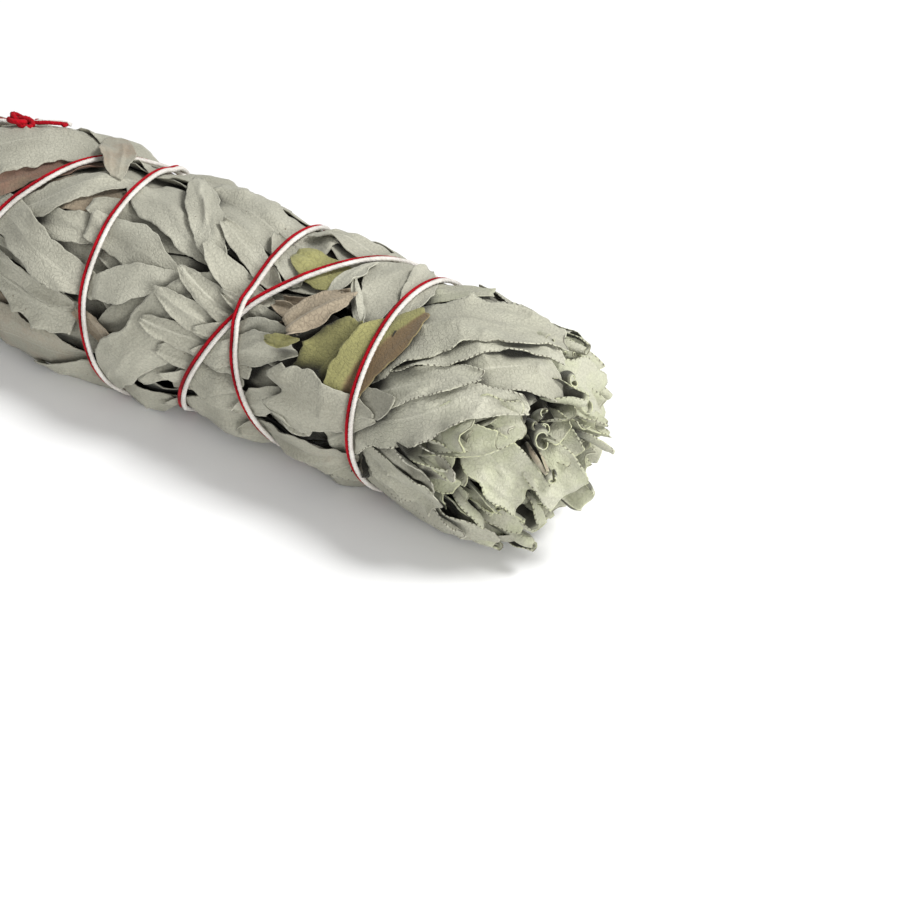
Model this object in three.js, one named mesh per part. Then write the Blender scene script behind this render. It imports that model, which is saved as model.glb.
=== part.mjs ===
// A tied bundle of dried white sage, lying on its side.
// Millimetres, +Z up. +X runs along the bundle, from the cut butt to the leafy tip.
// The origin is on the table, under the middle of the bundle.
import * as THREE from 'three';

const LENGTH = 180;
const RADIUS = 21.9;           // of the wrapped bundle at its thickest
const AXIS_HEIGHT = 20.3;      // lower than the radius, because the underside is pressed flat
const BUTT_RADIUS = 16.5;
const TAPER_FROM = 30;         // the bundle narrows from here to the butt
const DOME_FROM = 72;          // the tip rounds off from here
const DOME_DROP = 0.4;         // share of the radius that the tip loses

const LEAF_THICKNESS = 0.6;
const LEAF_GAP = 0.62;         // air between one leaf and the next
const LAYER = LEAF_THICKNESS + LEAF_GAP;
const ROW_SPACING = 45;        // from the leaf tips of one row to those of the next
const LEAF_BASES_END = -83;    // the leaf bases are cut off here
const FIRST_ROW_TIPS = -22;
const TUCK = 0.8;              // how much deeper than needed the leaf bases tuck in
const SLICE = 7;               // the leaves bend at slices this far apart along the bundle

const STEM_RADIUS = 2.2;
const STEM_RING = 5.1;         // the outer stems stand this far from the middle one
const STEM_END = 38;

const WHITE_RADIUS = 0.47;
const RED_RADIUS = 0.33;
const STRING_SIDES = 6;
const STRING_OFFSET = 0.6;     // each string lies this far from the middle of the pair
const STRING_CLEARANCE = 0.46;
const STRING_STEP = 15;        // degrees round the bundle
const PINCH_DEPTH = 1.95;      // how far the string pulls the leaves in
const PINCH_REACH = 12;
const CROSSING_LIFT = 1.35;
const CROSSING_REACH = 6.5;
const KNOT = { x: -51, angle: 25, radius: 1.35, tube: 0.42 };

// The pair of strings starts at the knot, climbs to the tip and comes back.
// Each point is [degrees wound round the bundle, distance along it].
const STRING_ROUTE = [
  [-328, -50.8], [-290, -51.6], [-240, -51.5], [-180, -50], [-130, -47.5], [-90, -44.3], [-51, -39.4],
  [-27, -34.8], [3, -29.6], [23, -25.4], [36, -21.8], [60, -16], [90, -10.5], [137, -3.5], [180, 1],
  [236, 6], [260, 9.6], [283, 13.8], [306, 18.2], [320, 21.2], [335, 25.2], [355, 30], [380, 34.8],
  [402, 38.4], [450, 42.8], [500, 46.6], [560, 49.2], [617, 48.6], [684, 48.2], [720, 47.8],
  [762, 47.4], [810, 45.8], [855, 41.6], [900, 35], [945, 28.4], [988, 22.8], [1012, 20.4],
  [1033, 19.4], [1060, 19.3], [1082, 18.9], [1113, 17.8], [1150, 12.6], [1217, -3], [1260, -8],
  [1305, -11], [1336, -13.4], [1363, -15.2], [1394, -15.6], [1442, -16.6], [1471, -18.4],
  [1500, -21.5], [1530, -26], [1575, -33], [1620, -40.5], [1665, -48.5], [1710, -56], [1750, -61],
  [1780, -61.6], [1800, -59.6], [1814, -57], [1824, -54],
];
const ROUTE_START = STRING_ROUTE[0][0];
const ROUTE_END = STRING_ROUTE[STRING_ROUTE.length - 1][0];

const { clamp, degToRad, lerp, smoothstep } = THREE.MathUtils;

// Soft bump of height 1, which falls to nothing at the given reach.
function bump(distance, reach) {
  const share = Math.min(Math.abs(distance) / reach, 1);
  return Math.cos(share * Math.PI / 2) ** 2;
}

// Where the pair of strings lies along the bundle when it has been wound this far.
function routeX(wound) {
  const points = STRING_ROUTE;
  const last = points.length - 1;
  let i = 0;
  while (i < last - 1 && wound > points[i + 1][0]) {
    i += 1;
  }
  const slope = (k) => {
    const before = points[Math.max(k - 1, 0)];
    const after = points[Math.min(k + 1, last)];
    return (after[1] - before[1]) / (after[0] - before[0]);
  };
  const [w0, x0] = points[i];
  const [w1, x1] = points[i + 1];
  const span = w1 - w0;
  const t = clamp((wound - w0) / span, 0, 1);
  const rise = t * t * (3 - 2 * t);
  return x0 + (x1 - x0) * rise
    + span * t * (1 - t) * (slope(i) * (1 - t) - slope(i + 1) * t);
}

// Every place where the string passes the given side of the bundle.
function passesAt(angle) {
  const first = angle + 360 * Math.ceil((ROUTE_START - angle) / 360);
  const passes = [];
  for (let wound = first; wound <= ROUTE_END; wound += 360) {
    passes.push(routeX(wound));
  }
  return passes;
}

function bodyRadius(x) {
  const taper = Math.max(TAPER_FROM - x, 0) / (TAPER_FROM + LENGTH / 2);
  const dome = Math.max(x - DOME_FROM, 0) / (LENGTH / 2 - DOME_FROM);
  return RADIUS - (RADIUS - BUTT_RADIUS) * taper ** 2 - RADIUS * DOME_DROP * dome ** 2.4;
}

// Distance from the bundle's axis to its outside, at one slice. The angle is 0 at the top
// and 90 towards +Y.
function outsideAtSlice(x, angle) {
  const down = -Math.cos(degToRad(angle));
  const toTable = down > 0 ? AXIS_HEIGHT / down : Infinity;
  const pinch = Math.max(...passesAt(angle).map((pass) => bump(x - pass, PINCH_REACH)));
  return Math.min(bodyRadius(x), toTable) - PINCH_DEPTH * pinch;
}

// The outside runs straight from slice to slice, so that leaves and strings fit each other.
function outside(x, angle) {
  const slice = Math.floor(x / SLICE);
  const before = outsideAtSlice(slice * SLICE, angle);
  const after = outsideAtSlice((slice + 1) * SLICE, angle);
  return lerp(before, after, x / SLICE - slice);
}

function onBundle(x, angle, radius) {
  const turn = degToRad(angle);
  return new THREE.Vector3(x, radius * Math.sin(turn), AXIS_HEIGHT + radius * Math.cos(turn));
}

// How many layers down a leaf lies, going back from its row's tips. It rises by two
// layers for each row, because each row has a leaf over and a leaf under, and then by the tuck.
function layersBehindTips(rows) {
  const behind = Math.max(rows, 0);
  const whole = Math.floor(behind);
  const steps = 2 * (whole + smoothstep(behind - whole, 0.3, 1));
  return steps + TUCK * Math.max(behind - 1, 0) ** 2;
}

// Half-width of a leaf along its length, as a share of its greatest half-width.
function leafOutline(along) {
  return 0.16 + 0.84 * Math.sin(Math.PI * clamp(along, 0, 1) ** 1.15) ** 0.7;
}

// Both ends of a leaf, and every slice that it crosses well inside them.
function slicesBetween(from, to) {
  const slices = [from];
  for (let k = Math.ceil((from + 2) / SLICE); k * SLICE < to - 1; k += 1) {
    slices.push(k * SLICE);
  }
  return [...slices, to];
}

// A leaf wrapped on the bundle: a thin slab bent onto the layer where it lies.
function leafGeometry(leaf) {
  const slices = slicesBetween(leaf.from, leaf.to);
  const steps = slices.length - 1;
  const geometry = new THREE.BoxGeometry(1, 1, 1, steps, leaf.facetsAcross, 1);
  const corners = geometry.attributes.position;
  for (let i = 0; i < corners.count; i += 1) {
    const x = slices[Math.round((corners.getX(i) + 0.5) * steps)];
    const along = (x - leaf.base) / (leaf.tip - leaf.base);
    const half = leaf.halfWidth * leafOutline(along);
    const angle = leaf.angle + leaf.slant * (along - 0.5) + 2 * half * corners.getY(i);
    const depth = leaf.under + layersBehindTips((leaf.rowTips - x) / ROW_SPACING);
    const inward = depth * LAYER + LEAF_THICKNESS * (0.5 - corners.getZ(i));
    const radius = outside(x, angle) * (1 - inward / RADIUS);
    const point = onBundle(x, angle, radius);
    corners.setXYZ(i, point.x, point.y, point.z);
  }
  return geometry;
}

// A leaf rolled up on itself like a scroll, lying beside the axis.
function rolledLeafGeometry(roll) {
  const geometry = new THREE.BoxGeometry(1, 1, 1, 4, 14, 1);
  const corners = geometry.attributes.position;
  for (let i = 0; i < corners.count; i += 1) {
    const x = roll.from + (roll.to - roll.from) * (corners.getX(i) + 0.5);
    const turn = degToRad(roll.turns * 360 * (corners.getY(i) + 0.5));
    const spiral = roll.radius - roll.tightening * (corners.getY(i) + 0.5);
    const radius = spiral + LEAF_THICKNESS * corners.getZ(i);
    corners.setXYZ(
      i,
      x,
      roll.y + radius * Math.sin(turn),
      AXIS_HEIGHT + roll.z + radius * Math.cos(turn),
    );
  }
  return geometry;
}

function stemGeometry(stem) {
  const length = stem.to - stem.from;
  const geometry = new THREE.CylinderGeometry(STEM_RADIUS * 0.75, STEM_RADIUS, length, 9, 3);
  geometry.rotateZ(-Math.PI / 2);
  geometry.translate((stem.from + stem.to) / 2, stem.y, AXIS_HEIGHT + stem.z);
  return geometry;
}

// Extra height where a later turn of the string passes over an earlier one.
function crossingLift(wound) {
  let lift = 0;
  for (let under = wound - 360; under >= ROUTE_START; under -= 360) {
    lift = Math.max(lift, bump(routeX(wound) - routeX(under), CROSSING_REACH));
  }
  return CROSSING_LIFT * Math.min(1.6 * lift, 1);
}

function stringPoint(wound, radius, side) {
  const slope = (routeX(wound + 1) - routeX(wound - 1)) / (2 * degToRad(1) * RADIUS);
  const tilt = Math.atan(slope);
  const x = routeX(wound) + side * STRING_OFFSET * Math.cos(tilt);
  const angle = wound - side * STRING_OFFSET * Math.sin(tilt) / degToRad(1) / RADIUS;
  const height = outside(routeX(wound), wound) + STRING_CLEARANCE + radius + crossingLift(wound);
  return onBundle(x, angle, height);
}

function stringGeometry(radius, side) {
  const steps = Math.round((ROUTE_END - ROUTE_START) / STRING_STEP);
  const points = [];
  for (let i = 0; i <= steps; i += 1) {
    const wound = ROUTE_START + (ROUTE_END - ROUTE_START) * i / steps;
    points.push(stringPoint(wound, radius, side));
  }
  const section = [];
  for (let k = 0; k < STRING_SIDES; k += 1) {
    const turn = 2 * Math.PI * k / STRING_SIDES;
    section.push(new THREE.Vector2(radius * Math.cos(turn), radius * Math.sin(turn)));
  }
  const extrudePath = new THREE.CatmullRomCurve3(points);
  return new THREE.ExtrudeGeometry(new THREE.Shape(section), { steps, extrudePath });
}

function knotGeometry() {
  const geometry = new THREE.TorusKnotGeometry(KNOT.radius, KNOT.tube, 32, 6, 2, 3);
  const height = outside(KNOT.x, KNOT.angle) + KNOT.tube * 2.6 + STRING_CLEARANCE;
  const place = onBundle(KNOT.x, KNOT.angle, height);
  geometry.rotateX(degToRad(-KNOT.angle));
  geometry.translate(place.x, place.y, place.z);
  return geometry;
}

// Repeatable small difference between leaves, from -1 to 1.
function uneven(row, place, kind) {
  const wave = Math.sin(row * 12.9 + place * 78.2 + kind * 37.7) * 43758.5;
  return 2 * (wave - Math.floor(wave)) - 1;
}

const LEAF_COLOURS = [0xb8baa7, 0xabae9c, 0xc0c1ae, 0xa3a48e, 0xb3b09a];
const bundle = new THREE.Group();

function add(name, geometry, colour, roughness) {
  const material = new THREE.MeshStandardMaterial({ color: colour, roughness, metalness: 0 });
  const mesh = new THREE.Mesh(geometry, material);
  mesh.name = name;
  bundle.add(mesh);
}

// Rows of leaves from the outside in. The leaves of a row lie over and under in turn. The first
// leaf of an outer row is straight, with its face on the table.
const ROWS = [
  { name: 'lower_leaf', count: 8, length: 76, halfWidth: 29.5, end: -22 },
  { name: 'middle_leaf', count: 8, length: 76, halfWidth: 29.5, end: 23 },
  { name: 'upper_leaf', count: 8, length: 76, halfWidth: 29.5, end: 68 },
  { name: 'tip_leaf', count: 8, length: 54, halfWidth: 31, end: 86 },
  { name: 'inner_tip_leaf', count: 6, length: 46, halfWidth: 38, end: 87.6 },
  { name: 'heart_leaf', count: 4, length: 38, halfWidth: 54, end: 88.4 },
];
const OUTER_ROWS = 3;

ROWS.forEach((row, index) => {
  for (let place = 0; place < row.count; place += 1) {
    const straight = place === 0;
    const spread = straight ? 0 : 1;
    const reach = index < OUTER_ROWS ? 4 : 2;
    const tip = row.end + spread * reach * uneven(index, place, 1);
    const base = tip - row.length * (1 + 0.06 * uneven(index, place, 2));
    const leaf = {
      rowTips: FIRST_ROW_TIPS + ROW_SPACING * index,
      tip,
      base,
      from: Math.max(base, LEAF_BASES_END + 2 * uneven(index, place, 3)),
      to: tip,
      angle: 180 + 360 * place / row.count + spread * 4 * uneven(index, place, 4),
      slant: spread * 8 * uneven(index, place, 5),
      halfWidth: row.halfWidth,
      under: place % 2,
      facetsAcross: index < OUTER_ROWS ? 4 : 6,
    };
    const colour = LEAF_COLOURS[(index * 3 + place * 2) % LEAF_COLOURS.length];
    add(`${row.name}_${place + 1}`, leafGeometry(leaf), colour, 0.9);
  }
});

// The core leaves, wrapped straight round the stems in two lengths.
const CORE_LENGTHS = [[LEAF_BASES_END, -18], [-14, 35]];
CORE_LENGTHS.forEach(([from, to], index) => {
  for (let place = 0; place < 4; place += 1) {
    const leaf = {
      rowTips: from,
      tip: to + 14,
      base: from - 14,
      from: from + uneven(index, place, 7),
      to: to + uneven(index, place, 8),
      angle: 30 * index + 90 * place,
      slant: 0,
      halfWidth: 54,
      under: 7 + 1.3 * (place % 2),
      facetsAcross: 6,
    };
    const name = `core_leaf_${index * 4 + place + 1}`;
    add(name, leafGeometry(leaf), LEAF_COLOURS[place], 0.9);
  }
});

// The rolled leaves in the heart of the tip.
[
  { from: 52, to: LENGTH / 2, y: -3.7, z: 0.6, radius: 3.3, tightening: 1.5, turns: 1.4 },
  { from: 54, to: 87, y: 3.7, z: -0.4, radius: 3.3, tightening: 1.5, turns: 1.4 },
].forEach((roll, place) => {
  add(`rolled_leaf_${place + 1}`, rolledLeafGeometry(roll), 0xb4b89c, 0.9);
});

// The woody stems: one in the middle and four round it, cut off at the butt.
const STEM_COUNT = 5;
for (let place = 0; place < STEM_COUNT; place += 1) {
  const turn = degToRad(45 + 90 * place);
  const ring = place === 0 ? 0 : STEM_RING;
  const stem = {
    from: -LENGTH / 2 + (place === 0 ? 0 : 1.2 + 1.2 * uneven(9, place, 1)),
    to: STEM_END + 5 * uneven(9, place, 2),
    y: ring * Math.cos(turn),
    z: ring * Math.sin(turn),
  };
  add(`stem_${place + 1}`, stemGeometry(stem), 0x9a8a66, 0.85);
}

add('white_string', stringGeometry(WHITE_RADIUS, 1), 0xefece4, 0.8);
add('red_string', stringGeometry(RED_RADIUS, -1), 0xb3182c, 0.8);
add('knot', knotGeometry(), 0xb3182c, 0.8);

export default bundle;
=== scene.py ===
# A tied bundle of dried white sage, lying on its side on a pale table.
# Leaves are laid one on another round the woody stems, from the inside out, and the
# binding strings press them in. Lengths are millimetres until a mesh is made.
import math

import bpy
import numpy as np
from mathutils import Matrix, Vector


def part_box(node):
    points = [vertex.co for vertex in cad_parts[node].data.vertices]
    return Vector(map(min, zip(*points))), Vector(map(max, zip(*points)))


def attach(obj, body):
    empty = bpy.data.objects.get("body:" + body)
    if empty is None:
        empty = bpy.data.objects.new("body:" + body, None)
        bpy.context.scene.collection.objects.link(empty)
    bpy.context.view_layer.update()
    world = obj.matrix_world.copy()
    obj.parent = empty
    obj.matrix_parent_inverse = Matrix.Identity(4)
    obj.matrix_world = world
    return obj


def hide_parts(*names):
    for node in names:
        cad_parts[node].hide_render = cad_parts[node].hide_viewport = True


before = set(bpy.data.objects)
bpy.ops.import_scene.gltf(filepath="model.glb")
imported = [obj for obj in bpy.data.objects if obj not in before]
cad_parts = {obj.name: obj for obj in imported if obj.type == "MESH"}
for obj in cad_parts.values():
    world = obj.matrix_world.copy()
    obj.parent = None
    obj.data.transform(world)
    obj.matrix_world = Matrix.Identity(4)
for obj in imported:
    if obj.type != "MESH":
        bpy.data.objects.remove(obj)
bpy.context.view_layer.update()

MM = 0.001


# ---------------- camera, table and light
# A long lens looks down on the leafy end from the front right. The table is white paper,
# and the light is a large soft window behind and to the right, with a weaker one in front
# and a pale room around.
AIM = Vector((66.3, -13.2, 21.2)) * MM
CAMERA_DISTANCE = 0.85
CAMERA_TURN = math.radians(36)
CAMERA_HEIGHT = math.radians(38)
LENS = 183.6
TABLE_REACH = 3.0              # metres each way from the middle
ROOM_LIGHT = 0.45

towards_camera = Vector((
    math.sin(CAMERA_TURN) * math.cos(CAMERA_HEIGHT),
    -math.cos(CAMERA_TURN) * math.cos(CAMERA_HEIGHT),
    math.sin(CAMERA_HEIGHT),
))
camera = bpy.data.objects.new("camera", bpy.data.cameras.new("camera"))
camera.data.lens = LENS
camera.data.sensor_width = 36
camera.data.clip_start = 0.05
camera.data.clip_end = 10
camera.location = AIM + towards_camera * CAMERA_DISTANCE
camera.rotation_mode = "QUATERNION"
camera.rotation_quaternion = towards_camera.to_track_quat("Z", "Y")
bpy.context.collection.objects.link(camera)
bpy.context.scene.camera = camera

paper = bpy.data.materials.new("white paper")
paper.use_nodes = True
paper_shader = paper.node_tree.nodes["Principled BSDF"]
paper_shader.inputs["Base Color"].default_value = (0.93, 0.93, 0.93, 1)
paper_shader.inputs["Roughness"].default_value = 0.9
sheet = bpy.data.meshes.new("table_top")
corners = [(-1, -1), (1, -1), (1, 1), (-1, 1)]
sheet.from_pydata([(TABLE_REACH * x, TABLE_REACH * y, 0) for x, y in corners], [], [(0, 1, 2, 3)])
sheet.materials.append(paper)
table = bpy.data.objects.new("table_top", sheet)
bpy.context.collection.objects.link(table)


def make_light(name, place, size, power):
    light = bpy.data.lights.new(name, "AREA")
    light.shape = "DISK"
    light.size = size
    light.energy = power
    lamp = bpy.data.objects.new(name, light)
    lamp.location = place
    lamp.rotation_mode = "QUATERNION"
    lamp.rotation_quaternion = Vector(place).to_track_quat("Z", "Y")
    bpy.context.collection.objects.link(lamp)


make_light("window", (0.75, 0.4, 1.25), 0.5, 18)
make_light("front_fill", (1.45, -0.6, 0.5), 0.8, 15)
world = bpy.data.worlds.new("pale_room")
world.use_nodes = True
background = world.node_tree.nodes["Background"]
background.inputs["Color"].default_value = (1, 1, 1, 1)
background.inputs["Strength"].default_value = ROOM_LIGHT
bpy.context.scene.world = world
bpy.context.scene.view_settings.view_transform = "Standard"
bpy.context.scene.view_settings.look = "None"


# ---------------- how the bundle is wound
# The pair of strings is wound in one length from the knot to the tip and back. It presses
# the leaves in all the way, so its route sets the shape of the whole bundle.
AXIS_HEIGHT = 20.3             # the underside is pressed flat on the table
BODY_RADIUS = 21.9
BUTT_RADIUS = 16.5
TAPER_FROM = -25               # distances along are from the middle, towards the tip
HALF_LENGTH = 90
DOME_FROM, DOME_TO = 66, 87
BELLY_SIDE, TOP_SIDE = -136, 40  # the low front side and the far top side, in degrees
SIDE_REACH = 85                # and how far round each of them goes
# The low front side bulges between the knot and the crossing, and the top is a little flat
# there. It has sunk behind the knot, and the far shoulder of the tip slopes down early. Each
# pair is where that starts along the bundle, and where it is full.
BELLY_SAG, BELLY_GROWS, BELLY_FADES = 3.2, (-62, -42), (12, -8)
TOP_DROP, TOP_SLOPE = 1.6, (25, -15)
KNOT_DROP, KNOT_SLOPE = 2.8, (-40, -58)
SHOULDER_DROP, SHOULDER_SLOPE = 1.9, (56, 73)
PINCH_DEPTH = 1.95             # the strings draw the bundle in by this much,
PINCH_REACH = 12               # over this far on each side
GROOVE_SLOPE = 0.5             # how steeply the leaves rise beside the string
GROOVE_GIVE = 0.12             # how much of a thick place the string leaves standing
GROOVE_START = 14              # it presses in fully this many degrees from its ends
FAR = 1e3                      # further out than anything on the bundle
# Each point is [degrees wound round the bundle, distance along it].
STRING_ROUTE = [
    [-328, -50.8], [-290, -51.6], [-240, -51.5], [-180, -50], [-130, -47.5], [-90, -44.3],
    [-51, -39.4], [-27, -34.8], [3, -29.6], [23, -25.4], [36, -21.8], [60, -18], [90, -11],
    [137, -3.5], [180, 1], [236, 6], [260, 9.6], [283, 13.8], [306, 18.2], [320, 21.2],
    [335, 25.2], [355, 30], [380, 34.8], [402, 38.4], [450, 42.8], [500, 46.6], [560, 49.2],
    [617, 48.6], [684, 48.2], [720, 47.8], [762, 47.4], [810, 45.8], [855, 41.6], [900, 35],
    [945, 28.4], [988, 22.8], [1012, 20.4], [1033, 19.4], [1060, 19.3], [1082, 18.9],
    [1113, 17.8], [1150, 12.6], [1217, -3], [1260, -8], [1305, -11], [1336, -13.4],
    [1363, -15.2], [1394, -15.6], [1442, -16.6], [1471, -18.4], [1500, -20.2], [1530, -25],
    [1575, -33], [1620, -40.5], [1665, -48.5], [1710, -56], [1750, -61], [1780, -61.6],
    [1800, -59.6], [1814, -57], [1824, -54],
]
route_wound, route_along = np.array(STRING_ROUTE, float).T
route_slope = np.gradient(route_along, route_wound)


def route_x(wound):
    """Where the strings lie along the bundle when they have been wound this far."""
    i = np.clip(np.searchsorted(route_wound, wound) - 1, 0, len(route_wound) - 2)
    span = route_wound[i + 1] - route_wound[i]
    t = np.clip((wound - route_wound[i]) / span, 0, 1)
    rise = t * t * (3 - 2 * t)
    bend = route_slope[i] * (1 - t) - route_slope[i + 1] * t
    return route_along[i] + (route_along[i + 1] - route_along[i]) * rise + span * t * (1 - t) * bend


def bump(distance, reach):
    """1 in the middle of a place, and 0 at its reach."""
    share = np.minimum(np.abs(distance) / reach, 1)
    return np.cos(share * math.pi / 2) ** 2


def smooth_step(value, low, high):
    """0 before low, 1 past high, and smooth between them. Low may be the larger of the two."""
    share = np.clip((value - low) / (high - low), 0, 1)
    return share * share * (3 - 2 * share)


def body_radius(x, angle):
    """Outside of the bundle before the strings bite: a slim butt, and a dome at the tip."""
    taper = np.maximum(TAPER_FROM - x, 0) / (TAPER_FROM + HALF_LENGTH)
    radius = BODY_RADIUS - (BODY_RADIUS - BUTT_RADIUS) * taper ** 1.5
    dome = np.clip((x - DOME_FROM) / (DOME_TO - DOME_FROM), 0, 0.97)
    radius = radius * np.sqrt(1 - dome ** 2)
    round_low = np.mod(angle - BELLY_SIDE + 180, 360) - 180
    round_top = np.mod(angle - TOP_SIDE + 180, 360) - 180
    belly = smooth_step(x, *BELLY_GROWS) * smooth_step(x, *BELLY_FADES) * bump(round_low, SIDE_REACH)
    flat_top = TOP_DROP * smooth_step(x, *TOP_SLOPE) + KNOT_DROP * smooth_step(x, *KNOT_SLOPE)
    flat_top = flat_top + SHOULDER_DROP * smooth_step(x, *SHOULDER_SLOPE)
    return radius + BELLY_SAG * belly - flat_top * bump(round_top, SIDE_REACH)


def to_table(angle):
    """Distance from the axis to the table. The angle is 0 at the top and 90 towards +Y."""
    down = -np.cos(np.radians(angle))
    return np.where(down > 0.05, AXIS_HEIGHT / np.maximum(down, 0.05), FAR)


def on_bundle(x, angle, radius):
    """Points in mm at a distance along the bundle, an angle round it and a distance from its axis."""
    turn = np.radians(angle)
    return np.stack([x, radius * np.sin(turn), AXIS_HEIGHT + radius * np.cos(turn)], -1)


# Maps of the bundle's outside, unrolled: one cell for each half millimetre and each degree.
CELL = 0.5
map_x = np.arange(-100, 105, CELL)
map_angle = np.arange(360)


def look_up(field, x, angle):
    """Value of an unrolled map at any place, blended between its cells."""
    column = np.clip((x - map_x[0]) / CELL, 0, len(map_x) - 1.001)
    i = column.astype(int)
    across = column - i
    turn = np.mod(angle, 360)
    j = np.floor(turn).astype(int) % 360
    up = turn - np.floor(turn)
    k = (j + 1) % 360
    low = field[i, j] * (1 - up) + field[i, k] * up
    high = field[i + 1, j] * (1 - up) + field[i + 1, k] * up
    return low * (1 - across) + high * across


def map_the_pressing():
    """The outside of the tied bundle, and the most that stays standing beside the strings."""
    x, angle = np.meshgrid(map_x, map_angle.astype(float), indexing="ij")
    full = np.minimum(body_radius(x, angle), to_table(angle))
    pinch = np.zeros_like(x)
    groove = np.full_like(x, FAR)
    for turn in range(-1, 6):
        wound = angle[0] + 360 * turn
        place = route_x(wound)
        lean = np.cos(np.arctan(np.gradient(place) / (math.radians(1) * BODY_RADIUS)))
        away = np.abs(x - place) * lean
        held = smooth_step(wound, route_wound[0] - 2, route_wound[0] + GROOVE_START)
        held = held * smooth_step(wound, route_wound[-1] + 2, route_wound[-1] - GROOVE_START)
        pinch = np.maximum(pinch, held * bump(x - place, PINCH_REACH))
        beside = GROOVE_SLOPE * away + 2 * PINCH_DEPTH * (1 - held)
        groove = np.minimum(groove, np.where(held > 0, beside, FAR))
    return full - PINCH_DEPTH * pinch, full - PINCH_DEPTH + groove


pressed_outside, string_groove = map_the_pressing()


# ---------------- dry leaf surfaces
# White sage leaves are felted grey-green, with a pale midrib, a fine net of veins, and small
# round teeth whose worn rims are pale yellow-green. Some have dried olive or brown.
VEIN_CELLS = 115.0             # in each 10 cm of leaf
DOT_SPACING = 0.95             # mm between the painted shade dots along the margin


class Nodes:
    """Short way to add nodes to a tree and join them."""

    def __init__(self, tree):
        self.tree = tree

    def fill(self, node, inputs):
        """Sets a node's inputs, each to a value or to another node's output."""
        for key, value in inputs.items():
            if isinstance(value, bpy.types.NodeSocket):
                self.tree.links.new(value, node.inputs[key])
            else:
                node.inputs[key].default_value = value

    def add(self, kind, inputs=None, **settings):
        node = self.tree.nodes.new(kind)
        for key, value in settings.items():
            setattr(node, key, value)
        self.fill(node, inputs or {})
        return node

    def out(self, kind, inputs=None, **settings):
        """Adds a node and gives its first output."""
        return self.add(kind, inputs, **settings).outputs[0]

    def math(self, operation, a, b=0.0, clamp=False):
        return self.out("ShaderNodeMath", {0: a, 1: b}, operation=operation, use_clamp=clamp)

    def plus(self, a, b, clamp=False):
        return self.math("ADD", a, b, clamp)

    def times(self, a, b, clamp=False):
        return self.math("MULTIPLY", a, b, clamp)

    def mix(self, share, a, b, blend="MIX"):
        inputs = {0: share, 6: a, 7: b}
        return self.add("ShaderNodeMix", inputs, data_type="RGBA", blend_type=blend).outputs[2]

    def between(self, value, low, high, start=0.0, end=1.0):
        """Smooth step of a value from low to high."""
        inputs = {0: value, 1: low, 2: high, 3: start, 4: end}
        return self.out("ShaderNodeMapRange", inputs, interpolation_type="SMOOTHSTEP")

    def noise(self, vector, scale, detail=2.0, roughness=0.5):
        inputs = {"Vector": vector, "Scale": scale, "Detail": detail, "Roughness": roughness}
        return self.out("ShaderNodeTexNoise", inputs)

    def attribute(self, name):
        return self.add("ShaderNodeAttribute", attribute_name=name).outputs["Fac"]

    def bump(self, height, strength, distance):
        inputs = {"Height": height, "Strength": strength, "Distance": distance}
        return self.out("ShaderNodeBump", inputs)


def new_material(name):
    """An empty material, its nodes, and its shader."""
    material = bpy.data.materials.new(name)
    material.use_nodes = True
    return material, Nodes(material.node_tree), material.node_tree.nodes["Principled BSDF"]


def felt_and_veins_group():
    """Fine felt, blotches and the net of veins, in a leaf's own flat measure."""
    group = bpy.data.node_groups.new("felt and veins", "ShaderNodeTree")
    group.interface.new_socket("Leaf map", in_out="INPUT", socket_type="NodeSocketVector")
    spacing = group.interface.new_socket("Vein spacing", in_out="INPUT", socket_type="NodeSocketFloat")
    spacing.default_value = VEIN_CELLS
    for output in ("Felt", "Blotches", "Veins", "Height"):
        group.interface.new_socket(output, in_out="OUTPUT", socket_type="NodeSocketFloat")
    n = Nodes(group)
    ends = n.add("NodeGroupInput").outputs
    leaf_map = ends["Leaf map"]
    felt = n.noise(leaf_map, 210, 4, 0.72)
    wrinkles = n.noise(leaf_map, 75, 2, 0.6)
    blotches = n.noise(leaf_map, 14, 4, 0.6)
    bent = n.add("ShaderNodeTexNoise", {"Vector": leaf_map, "Scale": 40.0}).outputs["Color"]
    bent = n.out("ShaderNodeVectorMath", {0: bent, "Scale": 0.012}, operation="SCALE")
    shifted = n.out("ShaderNodeVectorMath", {0: bent, 1: leaf_map}, operation="ADD")
    inputs = {"Vector": shifted, "Scale": ends["Vein spacing"], "Randomness": 0.9}
    cells = n.out("ShaderNodeTexVoronoi", inputs, feature="DISTANCE_TO_EDGE")
    veins = n.between(cells, 0.0, 0.13, 1.0, 0.0)
    height = n.plus(n.times(felt, 0.5), n.times(veins, -0.35))
    height = n.plus(height, n.times(blotches, 0.9))
    height = n.plus(height, n.times(wrinkles, 0.8))
    n.add("NodeGroupOutput", {"Felt": felt, "Blotches": blotches, "Veins": veins, "Height": height})
    return group


felt_and_veins = felt_and_veins_group()


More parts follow.
